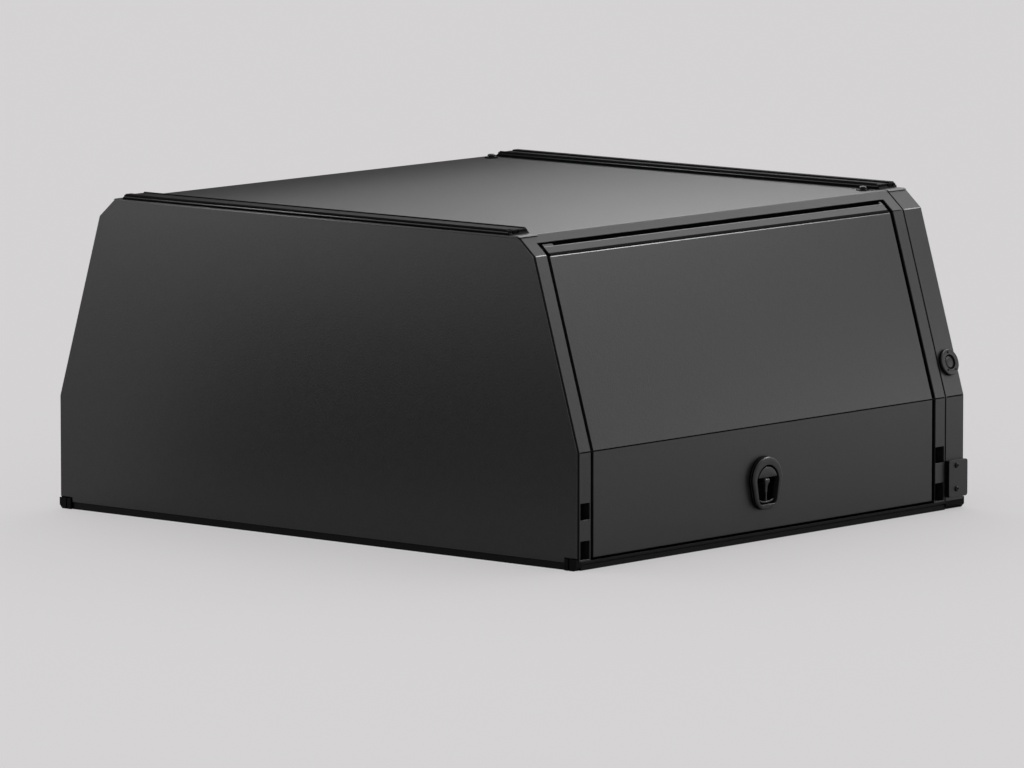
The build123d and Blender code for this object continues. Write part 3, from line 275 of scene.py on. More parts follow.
def outlined(line, middle, ease, count=160):
    """Points and outward normals of a closed outline at even turns about its middle. The outline is first
    cut into even steps and eased by a running mean of the given length, which rounds its corners."""
    dense = np.vstack([line, line[:1]])
    way = np.concatenate([[0], np.cumsum(np.linalg.norm(np.diff(dense, axis=0), axis=1))])
    even = np.linspace(0, way[-1], OUTLINE_STEPS, endpoint=False)
    step = way[-1] / OUTLINE_STEPS
    window = 2 * max(1, round(ease / step / 2)) + 1
    kernel = np.ones(window) / window
    eased = []
    for k in (0, 1):
        values = np.interp(even, way, dense[:, k])
        eased.append(np.convolve(np.concatenate([values[-window:], values, values[:window]]), kernel, "same")
                     [window:-window])
    y, z = eased
    ahead = np.stack([np.roll(y, -8) - np.roll(y, 8), np.roll(z, -8) - np.roll(z, 8)], axis=1)
    ahead /= np.linalg.norm(ahead, axis=1)[:, None]
    normal = np.stack([-ahead[:, 1], ahead[:, 0]], axis=1)
    normal *= np.sign(np.einsum("ij,ij->i", normal, np.stack([y, z], axis=1) - middle).mean())
    turn = np.arctan2(z - middle[1], y - middle[0])
    order = np.argsort(turn)
    wanted = np.linspace(-np.pi, np.pi, count, endpoint=False)
    pick = [np.interp(wanted, turn[order], values[order], period=2 * np.pi)
            for values in (y, z, normal[:, 0], normal[:, 1])]
    return np.stack(pick[:2], axis=1), np.stack(pick[2:], axis=1)


def latch_outline(half, low_half, low, high, corner, shoulder):
    """Outline of the latch family, as (y, z) from its upright centre line: a circle through both shoulders
    and the top, straight sides that draw in to the foot, and foot corners of one radius."""
    rise = high - shoulder
    radius = (half * half + rise * rise) / (2 * rise)
    centre = high - radius
    span = math.atan2(half, shoulder - centre)
    top = np.linspace(span, -span, 400)
    arch = np.stack([radius * np.sin(top), centre + radius * np.cos(top)], axis=1)
    bend = math.atan2(half - low_half, shoulder - low)
    setback = corner * math.tan((math.pi / 2 - bend) / 2)
    foot = np.linspace(math.pi + bend, 1.5 * math.pi, 60)
    centre = np.array([setback - low_half, low + corner])
    left = centre + corner * np.stack([np.cos(foot), np.sin(foot)], axis=1)
    line = np.vstack([arch, left, left[::-1] * np.array([-1, 1])])
    return outlined(line, np.array([0.0, 0.5 * (low + high)]), OUTLINE_EASE)


def moon_outline(mouth, gap, low):
    """Outline of the half-moon plate: the mouth's outline moved in by a gap, above a straight lower edge."""
    points = mouth[0] - mouth[1] * gap
    arch = points[points[:, 1] > low]
    right = points[points[:, 0] > 0]
    right = right[np.argsort(right[:, 1])]
    half = np.interp(low, right[:, 1], right[:, 0])
    arch = arch[np.argsort(np.arctan2(arch[:, 1] - low, arch[:, 0]))]
    chord = np.stack([np.linspace(-half, half, 200), np.full(200, low)], axis=1)
    line = np.vstack([arch, chord])
    return outlined(line, np.array([0.0, low + MOON_MIDDLE]), MOON_EASE)


def carried(outline, profile):
    """A profile of (inset, height) pairs carried along an outline: each ring is the outline moved in along
    its normals by the inset, and lies at the height. Returned as (ring, point, (y, z, height))."""
    points, normals = outline
    rings = [np.column_stack([points - normals * inset, np.full(len(points), height)])
             for inset, height in profile]
    return np.array(rings)


def drawn_in(ring, shares, crown=0.0):
    """Smaller copies of a ring about its middle, one for each share of its size. Their height rises by
    crown times one minus the share squared."""
    middle = ring.mean(0)
    rings = np.array([middle + (ring - middle) * share for share in shares])
    rings[..., 2] += (crown * (1 - np.array(shares) ** 2))[:, None]
    return rings


def stand(rings, sign, face_x, centre_y):
    """Places (y, z, height) rings on a side of the canopy: height runs outwards from the side's face."""
    return np.stack([face_x * sign + sign * rings[..., 2], centre_y + rings[..., 0], rings[..., 1]], axis=-1)


def bar(path, half_a, half_b, side_a, side_b, corner=0.35, count=24):
    """A rounded bar: at each point of the path stands a ring of half widths a and b along two directions, its
    corners eased by a superellipse of power 2 / corner. The ends close with two smaller rings."""
    path = np.array(path, float)
    turn = np.linspace(0, 2 * np.pi, count, endpoint=False)
    c, s = np.cos(turn), np.sin(turn)
    a = np.sign(c) * np.abs(c) ** corner
    b = np.sign(s) * np.abs(s) ** corner
    half_a, half_b = np.broadcast_to(half_a, len(path)), np.broadcast_to(half_b, len(path))
    side_a, side_b = np.array(side_a, float), np.array(side_b, float)
    rings = (path[:, None, :] + (half_a[:, None] * a[None])[..., None] * side_a
             + (half_b[:, None] * b[None])[..., None] * side_b)
    return shell(rings)


# Materials

def add_node(tree, kind, values=None, links=None, **settings):
    """Adds one node with its own settings, input values and links of (output socket, input name)."""
    node = tree.nodes.new(kind)
    for name, value in settings.items():
        setattr(node, name, value)
    for name, value in (values or {}).items():
        node.inputs[name].default_value = value
    for source, name in links or []:
        tree.links.new(source, node.inputs[name])
    return node


def new_material(name):
    """An empty node material, its shader and its object coordinates."""
    material = bpy.data.materials.new(name)
    material.use_nodes = True
    tree = material.node_tree
    tree.nodes.clear()
    shader = add_node(tree, "ShaderNodeBsdfPrincipled")
    add_node(tree, "ShaderNodeOutputMaterial", links=[(shader.outputs["BSDF"], "Surface")])
    place = add_node(tree, "ShaderNodeTexCoord").outputs["Object"]
    return material, tree, shader, place


def rgba(colour):
    return (*colour[:3], 1.0)


def dimmed(colour, share):
    return [c * share for c in colour[:3]]


def graded(tree, shader, pattern, dark, light, span, roughness, spread):
    """Lets a pattern run the base colour from dark to light over a span of its values, and the roughness by
    the spread to both sides."""
    tone = add_node(tree, "ShaderNodeValToRGB", links=[(pattern, "Fac")])
    for end, place, colour in zip(tone.color_ramp.elements, span, (dark, light)):
        end.position = place
        end.color = rgba(colour)
    tree.links.new(tone.outputs["Color"], shader.inputs["Base Color"])
    ends = {"From Min": span[0], "From Max": span[1],
            "To Min": roughness - spread, "To Max": roughness + spread}
    gloss = add_node(tree, "ShaderNodeMapRange", ends, [(pattern, "Value")])
    tree.links.new(gloss.outputs["Result"], shader.inputs["Roughness"])


def powder_coat(name, light, deep, roughness, grain, peel, bump, round_edge=1.2 * MM, shine=0.42):
    """Thermoset powder sprayed on aluminium and baked. It melts into a satin skin with gentle waves, the
    orange peel, and a fine grain: soft broad highlights with a faint mottle and no sharp reflections. The
    skin draws back from bare edges and rounds them, which the bevelled normal shows as thin lit lines. Real
    grain is about 0.3 mm wide, so it is drawn coarser to be seen at all."""
    cloud_scale, cloud_share = 60.0, 0.15
    material, tree, shader, place = new_material(name)
    shader.inputs["Specular IOR Level"].default_value = shine
    fine, wave, cloud = (add_node(tree, "ShaderNodeTexNoise", {"Scale": scale, "Detail": detail},
                                  [(place, "Vector")]).outputs["Fac"]
                         for scale, detail in ((1 / grain, 2.0), (1 / peel, 1.0), (cloud_scale, 2.0)))
    mottle = add_node(tree, "ShaderNodeMath", {1: cloud_share}, [(cloud, 0), (fine, 2)],
                      operation="MULTIPLY_ADD")
    graded(tree, shader, mottle.outputs[0], deep, light, (0.42, 0.73), roughness, 0.02)
    normal = add_node(tree, "ShaderNodeBevel", {"Radius": round_edge}, samples=4).outputs["Normal"]
    for height, rise in ((wave, 0.4 * MM), (fine, 0.35 * MM)):
        normal = add_node(tree, "ShaderNodeBump", {"Strength": bump, "Distance": rise},
                          [(height, "Height"), (normal, "Normal")]).outputs["Normal"]
    tree.links.new(normal, shader.inputs["Normal"])
    return material


def moulded(name, colour, roughness, shine):
    """Plastic moulded in a spark-eroded tool, which leaves a dull, even grain: a soft sheen and no mottle."""
    spark = 900.0
    material, tree, shader, place = new_material(name)
    shader.inputs["Specular IOR Level"].default_value = shine
    grain = add_node(tree, "ShaderNodeTexNoise", {"Scale": spark, "Detail": 2.0}, [(place, "Vector")])
    graded(tree, shader, grain.outputs["Fac"], dimmed(colour, 0.82), colour, (0.3, 0.7), roughness, 0.04)
    bump = add_node(tree, "ShaderNodeBump", {"Strength": 0.25, "Distance": 0.1 * MM},
                    [(grain.outputs["Fac"], "Height")])
    tree.links.new(bump.outputs["Normal"], shader.inputs["Normal"])
    return material


def plated_steel(name, colour, roughness):
    """Pressed steel with a zinc plating: a metal with faint draw marks along its length."""
    material, tree, shader, place = new_material(name)
    shader.inputs["Metallic"].default_value = 1.0
    stretch = add_node(tree, "ShaderNodeMapping", {"Scale": (900.0, 60.0, 900.0)}, [(place, "Vector")])
    marks = add_node(tree, "ShaderNodeTexNoise", {"Scale": 1.0, "Detail": 2.0},
                     [(stretch.outputs["Vector"], "Vector")])
    graded(tree, shader, marks.outputs["Fac"], dimmed(colour, 0.8), colour, (0.3, 0.7), roughness, 0.06)
    return material


MATERIALS = {}


def finishes(context):
    """All materials, by the record's slot names, made once."""
    if MATERIALS:
        return MATERIALS
    look = context.scene.canopy_finish
    coat, rail, base, rubber_and_painted_shade = look.coat, look.extrusion, look.base, look.rubber_and_painted_shade
    latch = context.scene.canopy_latch.colour
    waves = (look.grain, look.peel)
    MATERIALS.update({
        "black_powder_coat": powder_coat("satin_powder_coat_on_aluminium_sheet", coat, look.coat_deep, 0.38,
                                         *waves, 0.5),
        "rail_coat": powder_coat("powder_coat_on_extruded_aluminium", rail, dimmed(rail, 0.6), 0.6,
                                 *waves, 0.25, 0.9 * MM, 0.06),
        "lip_coat": powder_coat("powder_coat_polished_on_the_rail_lips", coat, dimmed(coat, 0.7), 0.3,
                                *waves, 0.1, 0.4 * MM, 0.6),
        "base_coat": powder_coat("powder_coat_on_folded_base_rails", base, dimmed(base, 0.6), 0.5,
                                 *waves, 0.4, shine=0.1),
        "bracket_coat": powder_coat("textured_powder_coat_on_pressed_steel", coat, dimmed(coat, 0.8), 0.42,
                                    *waves, 0.5, 2.0 * MM, 0.34),
        "latch_metal": powder_coat("powder_coat_on_die_cast_zinc", latch, dimmed(latch, 0.85), 0.33,
                                   *waves, 0.15, 0.5 * MM, 0.36),
        # Real seals, and the black strips that paint shade in gaps, grooves and round the bezel and port
        "seal_rubber": moulded("epdm_rubber_and_painted_shade", rubber_and_painted_shade, 0.8, 0.06),
        # A dark strip that paints the shade along a fold
        "fold_shadow": moulded("painted_shade_in_the_fold_line", rubber_and_painted_shade, 0.7, 0.03),
        "foot_plastic": moulded("moulded_polypropylene", rubber_and_painted_shade, 0.5, 0.06),
        "port_plastic": moulded("moulded_glass_filled_nylon", rail, 0.36, 0.32),
        "latch_plastic": moulded("moulded_abs_latch_bezel", latch, 0.3, 0.36),
        # Near-black matt cup that paints the shade inside the hand recess
        "latch_recess": moulded("matt_black_painted_shade_in_the_hand_recess", rubber_and_painted_shade, 0.8, 0.06),
        "zinc_steel": plated_steel("zinc_plated_pressed_steel", linear("B9B9B4"), 0.35),
        "black_steel": moulded("black_oxide_on_steel_screws", linear("030303"), 0.14, 0.22),
    })
    return MATERIALS


# Operators

class CANOPY_OT_finish(bpy.types.Operator):
    """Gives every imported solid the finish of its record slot"""
    bl_idname = "canopy.finish"
    bl_label = "Finish the Solids"

    def execute(self, context):
        made = finishes(context)
        for name, node in frame["nodes"].items():
            if not node.material_slots:
                node.data.materials.append(None)
            for place in node.material_slots:
                place.material = made[SLOT_OF[name]]
        return {"FINISHED"}


def quarter(radius, steps=8):
    """Sine and cosine of a quarter turn times a radius, for a rounded edge."""
    turn = np.linspace(0, math.pi / 2, steps)
    return radius * np.sin(turn), radius * np.cos(turn)


# Black bands round a latch bezel that paint the shade on its side wall: how far each stands out of it, and
# its foot and top above the door's face
BEZEL_BANDS = ((0.6 * MM, 0.0, 4.6 * MM), (0.3 * MM, 7.6 * MM, 11.4 * MM))
BAND_SUNK = 2.0 * MM
PIN_RADIUS = 3.0 * MM
PIN_HALF = 12.8 * MM
PIN_EASE = 0.6 * MM
# Ears that carry the pin: half distance, half thickness, half heights, and places along them from the pin
EAR_APART = 12.0 * MM
EAR_THICK = 1.5 * MM
EAR_TALL = (6.0 * MM, 6.0 * MM, 5.0 * MM, 3.2 * MM)
EAR_RUN = (-4.0 * MM, 0.0, 3.0 * MM)
# T handle: turns of its round head, then the stem's rows of height from the pin and two half widths
HEAD_TURN = np.radians([8.0, 20.0, 35.0, 50.0, 65.0, 80.0, 90.0])
HEAD_WIDE = 9.8 * MM
STEM = np.array([(-5.0, 6.8, 9.6), (-9.0, 5.0, 7.0), (-16.0, 3.0, 4.6), (-30.0, 2.6, 4.2), (-32.0, 2.4, 2.4),
                 (-50.0, 2.4, 2.2), (-55.5, 2.4, 2.2)]) * MM
HEAD_SCREW = (2.6 * MM, 0.6 * MM, 1.5 * MM, 0.5 * MM)
HEAD_SCREW_SUNK = 0.4 * MM
# Crossbar: places along its half length, its size there, and its half widths
CROSSBAR_AT = np.array([-1.0, -0.97, -0.9, -0.6, -0.3, 0.0, 0.3, 0.6, 0.9, 0.97, 1.0])
CROSSBAR_EASE = np.array([0.55, 0.85, 1.0, 1.0, 1.0, 1.0, 1.0, 1.0, 1.0, 0.85, 0.55])
CROSSBAR_DEEP = 3.6 * MM
CROSSBAR_TALL = 2.6 * MM


class CANOPY_OT_latches(bpy.types.Operator):
    """Builds the bezel, the black bands that paint the shade on its side wall, the near-black cup that paints
    the shade in the recess, half-moon plate and folding handle of each door latch
    """
    bl_idname = "canopy.latches"
    bl_label = "Build the Latches"

    def execute(self, context):
        latch = context.scene.canopy_latch
        finishes(context)
        low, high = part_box("latch_bezel_right")
        centre_y, face_x, proud = (low.y + high.y) / 2, low.x, high.x - low.x
        back = face_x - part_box("latch_cup_right")[0].x
        deep = back - latch.wall
        outer = latch_outline(latch.half, latch.low_half, low.z, high.z, latch.corner, latch.shoulder)
        mouth = latch_outline(latch.mouth_half, latch.mouth_low_half, latch.mouth_low, latch.mouth_high,
                              latch.mouth_corner, latch.shoulder)

        rise, run = quarter(latch.edge)
        lip_rise, lip_run = quarter(latch.lip)
        bezel = carried(outer, [(0.0, 0.0)] + list(zip(latch.edge - run, proud - latch.edge + rise)))
        rim = list(zip(lip_rise - latch.lip, proud - latch.lip + lip_run)) + [(0.0, 0.0)]
        bezel = np.vstack([bezel, carried(mouth, rim)])
        bands = [carried(outer, [(-out, foot), (-out, head), (BAND_SUNK, head), (BAND_SUNK, foot)])
                 for out, foot, head in BEZEL_BANDS]

        rise, run = quarter(latch.cup_round)
        cup = carried(mouth, [(-latch.wall, -back), (-latch.wall, 0.0), (0.0, 0.0)]
                      + list(zip(latch.cup_round - run, latch.cup_round - deep - rise)))
        cup = np.vstack([drawn_in(cup[0], (0.2, 0.6)), cup, drawn_in(cup[-1], (0.7, 0.4, 0.15))])

        moon_line = moon_outline(mouth, latch.moon_gap, latch.moon_low)
        rise, run = quarter(latch.lip)
        front = proud - latch.moon_set_back
        moon = carried(moon_line, [(0.0, -deep)] + list(zip(latch.lip - run, front - latch.lip + rise)))
        moon = np.vstack([drawn_in(moon[0], (0.2, 0.6)), moon,
                          drawn_in(moon[-1], (0.8, 0.6, 0.4, 0.2, 0.05), latch.crown)])

        for sign, side in SIDES:
            body = "door" if sign > 0 else "canopy"
            hand = "handle" if sign > 0 else "canopy"
            x = sign * face_x
            piece("bezel_ring_" + side, [shell(stand(bezel, sign, face_x, centre_y), ring=True)], body,
                  "latch_plastic", replaced=["latch_bezel_" + side])
            rings = [shell(stand(band, sign, face_x, centre_y), ring=True) for band in bands]
            piece("bezel_side_shade_" + side, rings, body, "seal_rubber")
            pin_x = sign * (face_x + latch.pin_out)
            pin_z = latch.pin_high
            thin = PIN_RADIUS - PIN_EASE
            straight = PIN_HALF - PIN_EASE
            rows = [(thin, -PIN_HALF), (PIN_RADIUS, -straight), (PIN_RADIUS, straight), (thin, PIN_HALF)]
            pin = turned(rows, (pin_x, centre_y, pin_z), ALONG, ACROSS, 32)
            stations = [x - sign * deep] + [pin_x + sign * run for run in EAR_RUN]
            ears = [bar([(at, centre_y + y, pin_z) for at in stations], EAR_TALL, EAR_THICK, UP, ALONG)
                    for y in (-EAR_APART, EAR_APART)]
            # The cup, pin and ears are near black: painted shade in the hand recess
            piece("latch_well_" + side, [shell(stand(cup, sign, face_x, centre_y)), pin, *ears], body,
                  "latch_recess", ["latch_cup_" + side])
            piece("moon_plate_" + side, [shell(stand(moon, sign, face_x, centre_y))], body,
                  "latch_metal")
            piece("t_handle_" + side, self.handle(latch, pin_x, centre_y, sign), hand,
                  "latch_metal", replaced=["latch_handle_" + side])
        return {"FINISHED"}

    def handle(self, latch, pin_x, centre_y, sign):
        """Shells of the T handle: a stem that is round about the pin and steps down twice, and a crossbar
        whose middle line is a parabola that rises towards its ends."""
        radius = latch.trunnion
        head = np.column_stack([radius * np.cos(HEAD_TURN), radius * np.sin(HEAD_TURN),
                                np.full(len(HEAD_TURN), HEAD_WIDE)])
        rise, half_x, half_y = np.vstack([head, STEM]).T
        path = [(pin_x, centre_y, latch.pin_high + z) for z in rise]
        stem = bar(path, half_x, half_y, ACROSS, ALONG, corner=0.3)
        middle = latch.bar_low + CROSSBAR_TALL
        path = [(pin_x, centre_y + at * latch.bar_half, middle + latch.bar_rise * at ** 2)
                for at in CROSSBAR_AT]
        crossbar = bar(path, CROSSBAR_DEEP * CROSSBAR_EASE, CROSSBAR_TALL * CROSSBAR_EASE, ACROSS, UP, 0.5)
        face = pin_x + sign * (radius - HEAD_SCREW_SUNK)
        screw = turned(button_head(*HEAD_SCREW), (face, centre_y, latch.pin_high), (sign, 0, 0), ALONG, 30)
        return [stem, crossbar, screw]


# Black rings of the port that paint the shade round its wall and in the gap on the floor of its recess
RING_OUT = 0.3 * MM
RING_DEEP = 2.0 * MM
RING_BELOW = 3.6 * MM
RING_SLOPE = 0.4 * MM
FLOOR_RING_IN = 0.2 * MM
FLOOR_RING_LOW = 1.0 * MM
FLOOR_RING_HIGH = 0.8 * MM
FLOOR_RING_UNDER_CAP = 1.0 * MM
PORT_SCREWS_AT = np.radians([95.0, 232.0, 307.0])
PORT_SCREW = (1.1 * MM, 1.7 * MM, 1.0 * MM)
PORT_SCREW_SUNK = 0.3 * MM
# Lug on the port's wall: its turn, heights and two half widths
LUG_AT = math.radians(-20.0)
LUG = np.array([(1.0, 2.6, 3.0), (1.8, 3.4, 4.0), (7.0, 3.4, 4.0), (8.0, 2.6, 3.0)]) * MM
DOME_ROUND = 2.4 * MM
DOME_TURN = np.radians([6.0, 14.0, 24.0, 36.0, 50.0, 64.0, 78.0, 86.0])


class CANOPY_OT_port(bpy.types.Operator):
    """Builds the round port's flange, cap, the black rings that paint the shade round its wall and in its
    recess, screws and side lug
    """
    bl_idname = "canopy.port"
    bl_label = "Build the Port"

    def execute(self, context):
        port = context.scene.canopy_port
        finishes(context)
        low, high = (np.array(corner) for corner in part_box("port_flange"))
        radius = (high[1] - low[1]) / 2
        width, rise = high[0] - low[0], high[2] - low[2]
        tilt = math.atan2(2 * radius * width - port.tall * rise, 2 * radius * rise - port.tall * width)
        out = np.array([math.cos(tilt), 0.0, math.sin(tilt)])
        base = (low + high) / 2 - out * port.tall / 2
        up = np.cross(out, ALONG)
        up = up * np.sign(up[2])

        def way(turn):
            return math.cos(turn) * np.array(ALONG) + math.sin(turn) * up

        def ring(profile, count):
            return turned(profile, base, out, ALONG, count)

        round_rise, round_run = quarter(port.rounding)
        rim_rise, rim_run = quarter(port.rim_round)
        flange = ([(radius, 0.0)]
                  + list(zip(radius - port.rounding + round_run, port.tall - port.rounding + round_rise))
                  + list(zip(port.bore + port.rim_round - rim_rise, port.tall - port.rim_round + rim_run))
                  + [(port.bore, port.floor)])
        piece("port_ring", [ring(flange, 120)], "canopy", "port_plastic", replaced=["port_flange"])

        inner, outer, top = radius - RING_DEEP, radius + RING_OUT, port.tall - RING_BELOW
        bore = port.bore + FLOOR_RING_IN
        low, high = port.floor - FLOOR_RING_LOW, port.floor + FLOOR_RING_HIGH
        # Black rings of painted shade: round the flange's wall, and on the recess's floor round the cap
        rubber_and_painted_shade = [ring([(inner, 0.0), (outer, 0.0), (outer, top), (inner, top + RING_SLOPE)], 120),
                  ring([(bore, low), (bore, high), (port.cap - FLOOR_RING_UNDER_CAP, high)], 96)]
        rubber_and_painted_shade += [turned(button_head(port.screw_radius, *PORT_SCREW),
                          base + out * (port.tall - PORT_SCREW_SUNK) + way(turn) * port.screw_circle,
                          out, ALONG, 36) for turn in PORT_SCREWS_AT]
        away = way(LUG_AT)
        rubber_and_painted_shade.append(bar([base + away * inner + out * height for height in LUG[:, 0]], LUG[:, 1], LUG[:, 2],
                          away, np.cross(out, away)))
        piece("port_shade_rings_screws_and_lug", rubber_and_painted_shade, "canopy", "seal_rubber")

        shoulder = port.cap_high - DOME_ROUND
        dome = [(port.cap, port.floor), (port.cap, shoulder)]
        dome += [(port.cap * math.cos(a), shoulder + DOME_ROUND * math.sin(a) ** 0.6) for a in DOME_TURN]
        piece("port_dome", [ring(dome, 96)], "canopy", "port_plastic", replaced=["port_cap"])
        return {"FINISHED"}


def along_y(section, low, high):
    """A closed section of (x, z) points carried along y between two places."""
    ends = np.array([low, high])
    rings = np.stack([np.broadcast_to(section[:, 0], (2, len(section))),
                      np.broadcast_to(ends[:, None], (2, len(section))),
                      np.broadcast_to(section[:, 1], (2, len(section)))], axis=-1)
    return shell(rings)


def rod_x(y, z, half_y, half_z, reach, corner=1.0):
    """A bar along x between minus and plus reach. Corner 1 makes it round, a small corner makes it square."""
    path = [(x, y, z) for x in (-reach, ROD_END - reach, reach - ROD_END, reach)]
    ease = np.array([0.6, 1.0, 1.0, 0.6])
    return bar(path, half_y * ease, half_z * ease, ALONG, UP, corner)


class SideProfile:
    """The side's outer face as upright, leaning and sloping straights, in (x, z) on the right side. A fold at
    a depth is the fold's own point less depth times (a + b) / (1 + a.b), with a and b the two normals."""

    def __init__(self, seams, half_width, roof):
        self.knee = np.array([half_width, seams.knee])
        self.edge = np.array([half_width - seams.lean_in, roof - seams.cheek_tall])
        self.eave = self.edge + (-seams.cheek_across, seams.cheek_tall)
        down = self.knee - self.edge
        self.lean_down = down / np.linalg.norm(down)
        self.lean_out = np.array([-self.lean_down[1], self.lean_down[0]])
        down = self.edge - self.eave
        self.cheek_long = float(np.linalg.norm(down))
        self.cheek_down = down / np.linalg.norm(down)
        self.cheek_out = np.array([-self.cheek_down[1], self.cheek_down[0]])

    def fold(self, point, one, two, depth):
        return point - depth * (one + two) / (1 + one @ two)

    def knee_at(self, depth):
        return self.fold(self.knee, np.array([1.0, 0.0]), self.lean_out, depth)

    def edge_at(self, depth):
        return self.fold(self.edge, self.lean_out, self.cheek_out, depth)

    def upright(self, z, depth):
        return np.array([self.knee[0] - depth, z])

    def lean(self, along, depth):
        return self.edge + self.lean_down * along - self.lean_out * depth

    def cheek(self, along, depth):
        return self.eave + self.cheek_down * along - self.cheek_out * depth


# Dark line of painted shade along the fold: how deep it's sunk and its chamfer
FOLD_SUNK = 0.6 * MM
FOLD_EASE = 0.3 * MM
# Black lining of a door's gap, which paints the shade in the gap: where it starts and ends, its depths behind
# the face and its thickness
LINING_LOW = 32.0 * MM
LINING_HIGH = 31.0 * MM
LINING_OUTER = 1.2 * MM
LINING_INNER = 36.0 * MM
LINING_THICK = 0.8 * MM
# Lip of the front lining over the post's face, which widens the painted shade of the gap: how far it's proud
# and sunk
LIP_PROUD = 0.3 * MM
LIP_SUNK = 1.0 * MM
# Section of the black strip that paints the shade in the hinge's slot, as (x, z) on the right side
SLOT_SHADE_STRIP = np.array([(717.4, 813.0), (722.0, 813.0), (723.0, 814.0), (723.0, 838.0), (722.0, 839.0),
                       (717.4, 839.0)]) * MM
SHORT_OF_HEADER = 2.0 * MM
# Black line that paints the shade in the gap between leaf and door: its start down the cheek, its end down
# the lean, and how far it's proud and sunk
LEAF_START = 68.8 * MM
LEAF_END = 3.8 * MM
LEAF_PROUD = 0.15 * MM
LEAF_SUNK = 1.0 * MM
SHORT_OF_DOOR = 3.0 * MM
# Hems: slope on the lean, start and slope on the cheek, depth, and full width as a share of the lit width
LEAN_SLOPE = 0.17
CHEEK_START = 46.0 * MM
CHEEK_SLOPE = 0.36
HEM_SUNK = 0.6 * MM
HEM_FULL = 1.33
# Lit fold between lean and cheek: half widths at its foot and its top, how far it's proud and sunk
EDGE_FOOT = 1.4 * MM
EDGE_TOP = 1.1 * MM
EDGE_PROUD = 0.4 * MM
EDGE_SUNK = 0.8 * MM
# Coat of each lit fold; the front posts' fold takes the dark fold colour, a line of painted shade
EDGE_COATS = (("post_rear_", "lip_coat"), ("post_front_", "fold_shadow"), ("front_strip_", "lip_coat"))


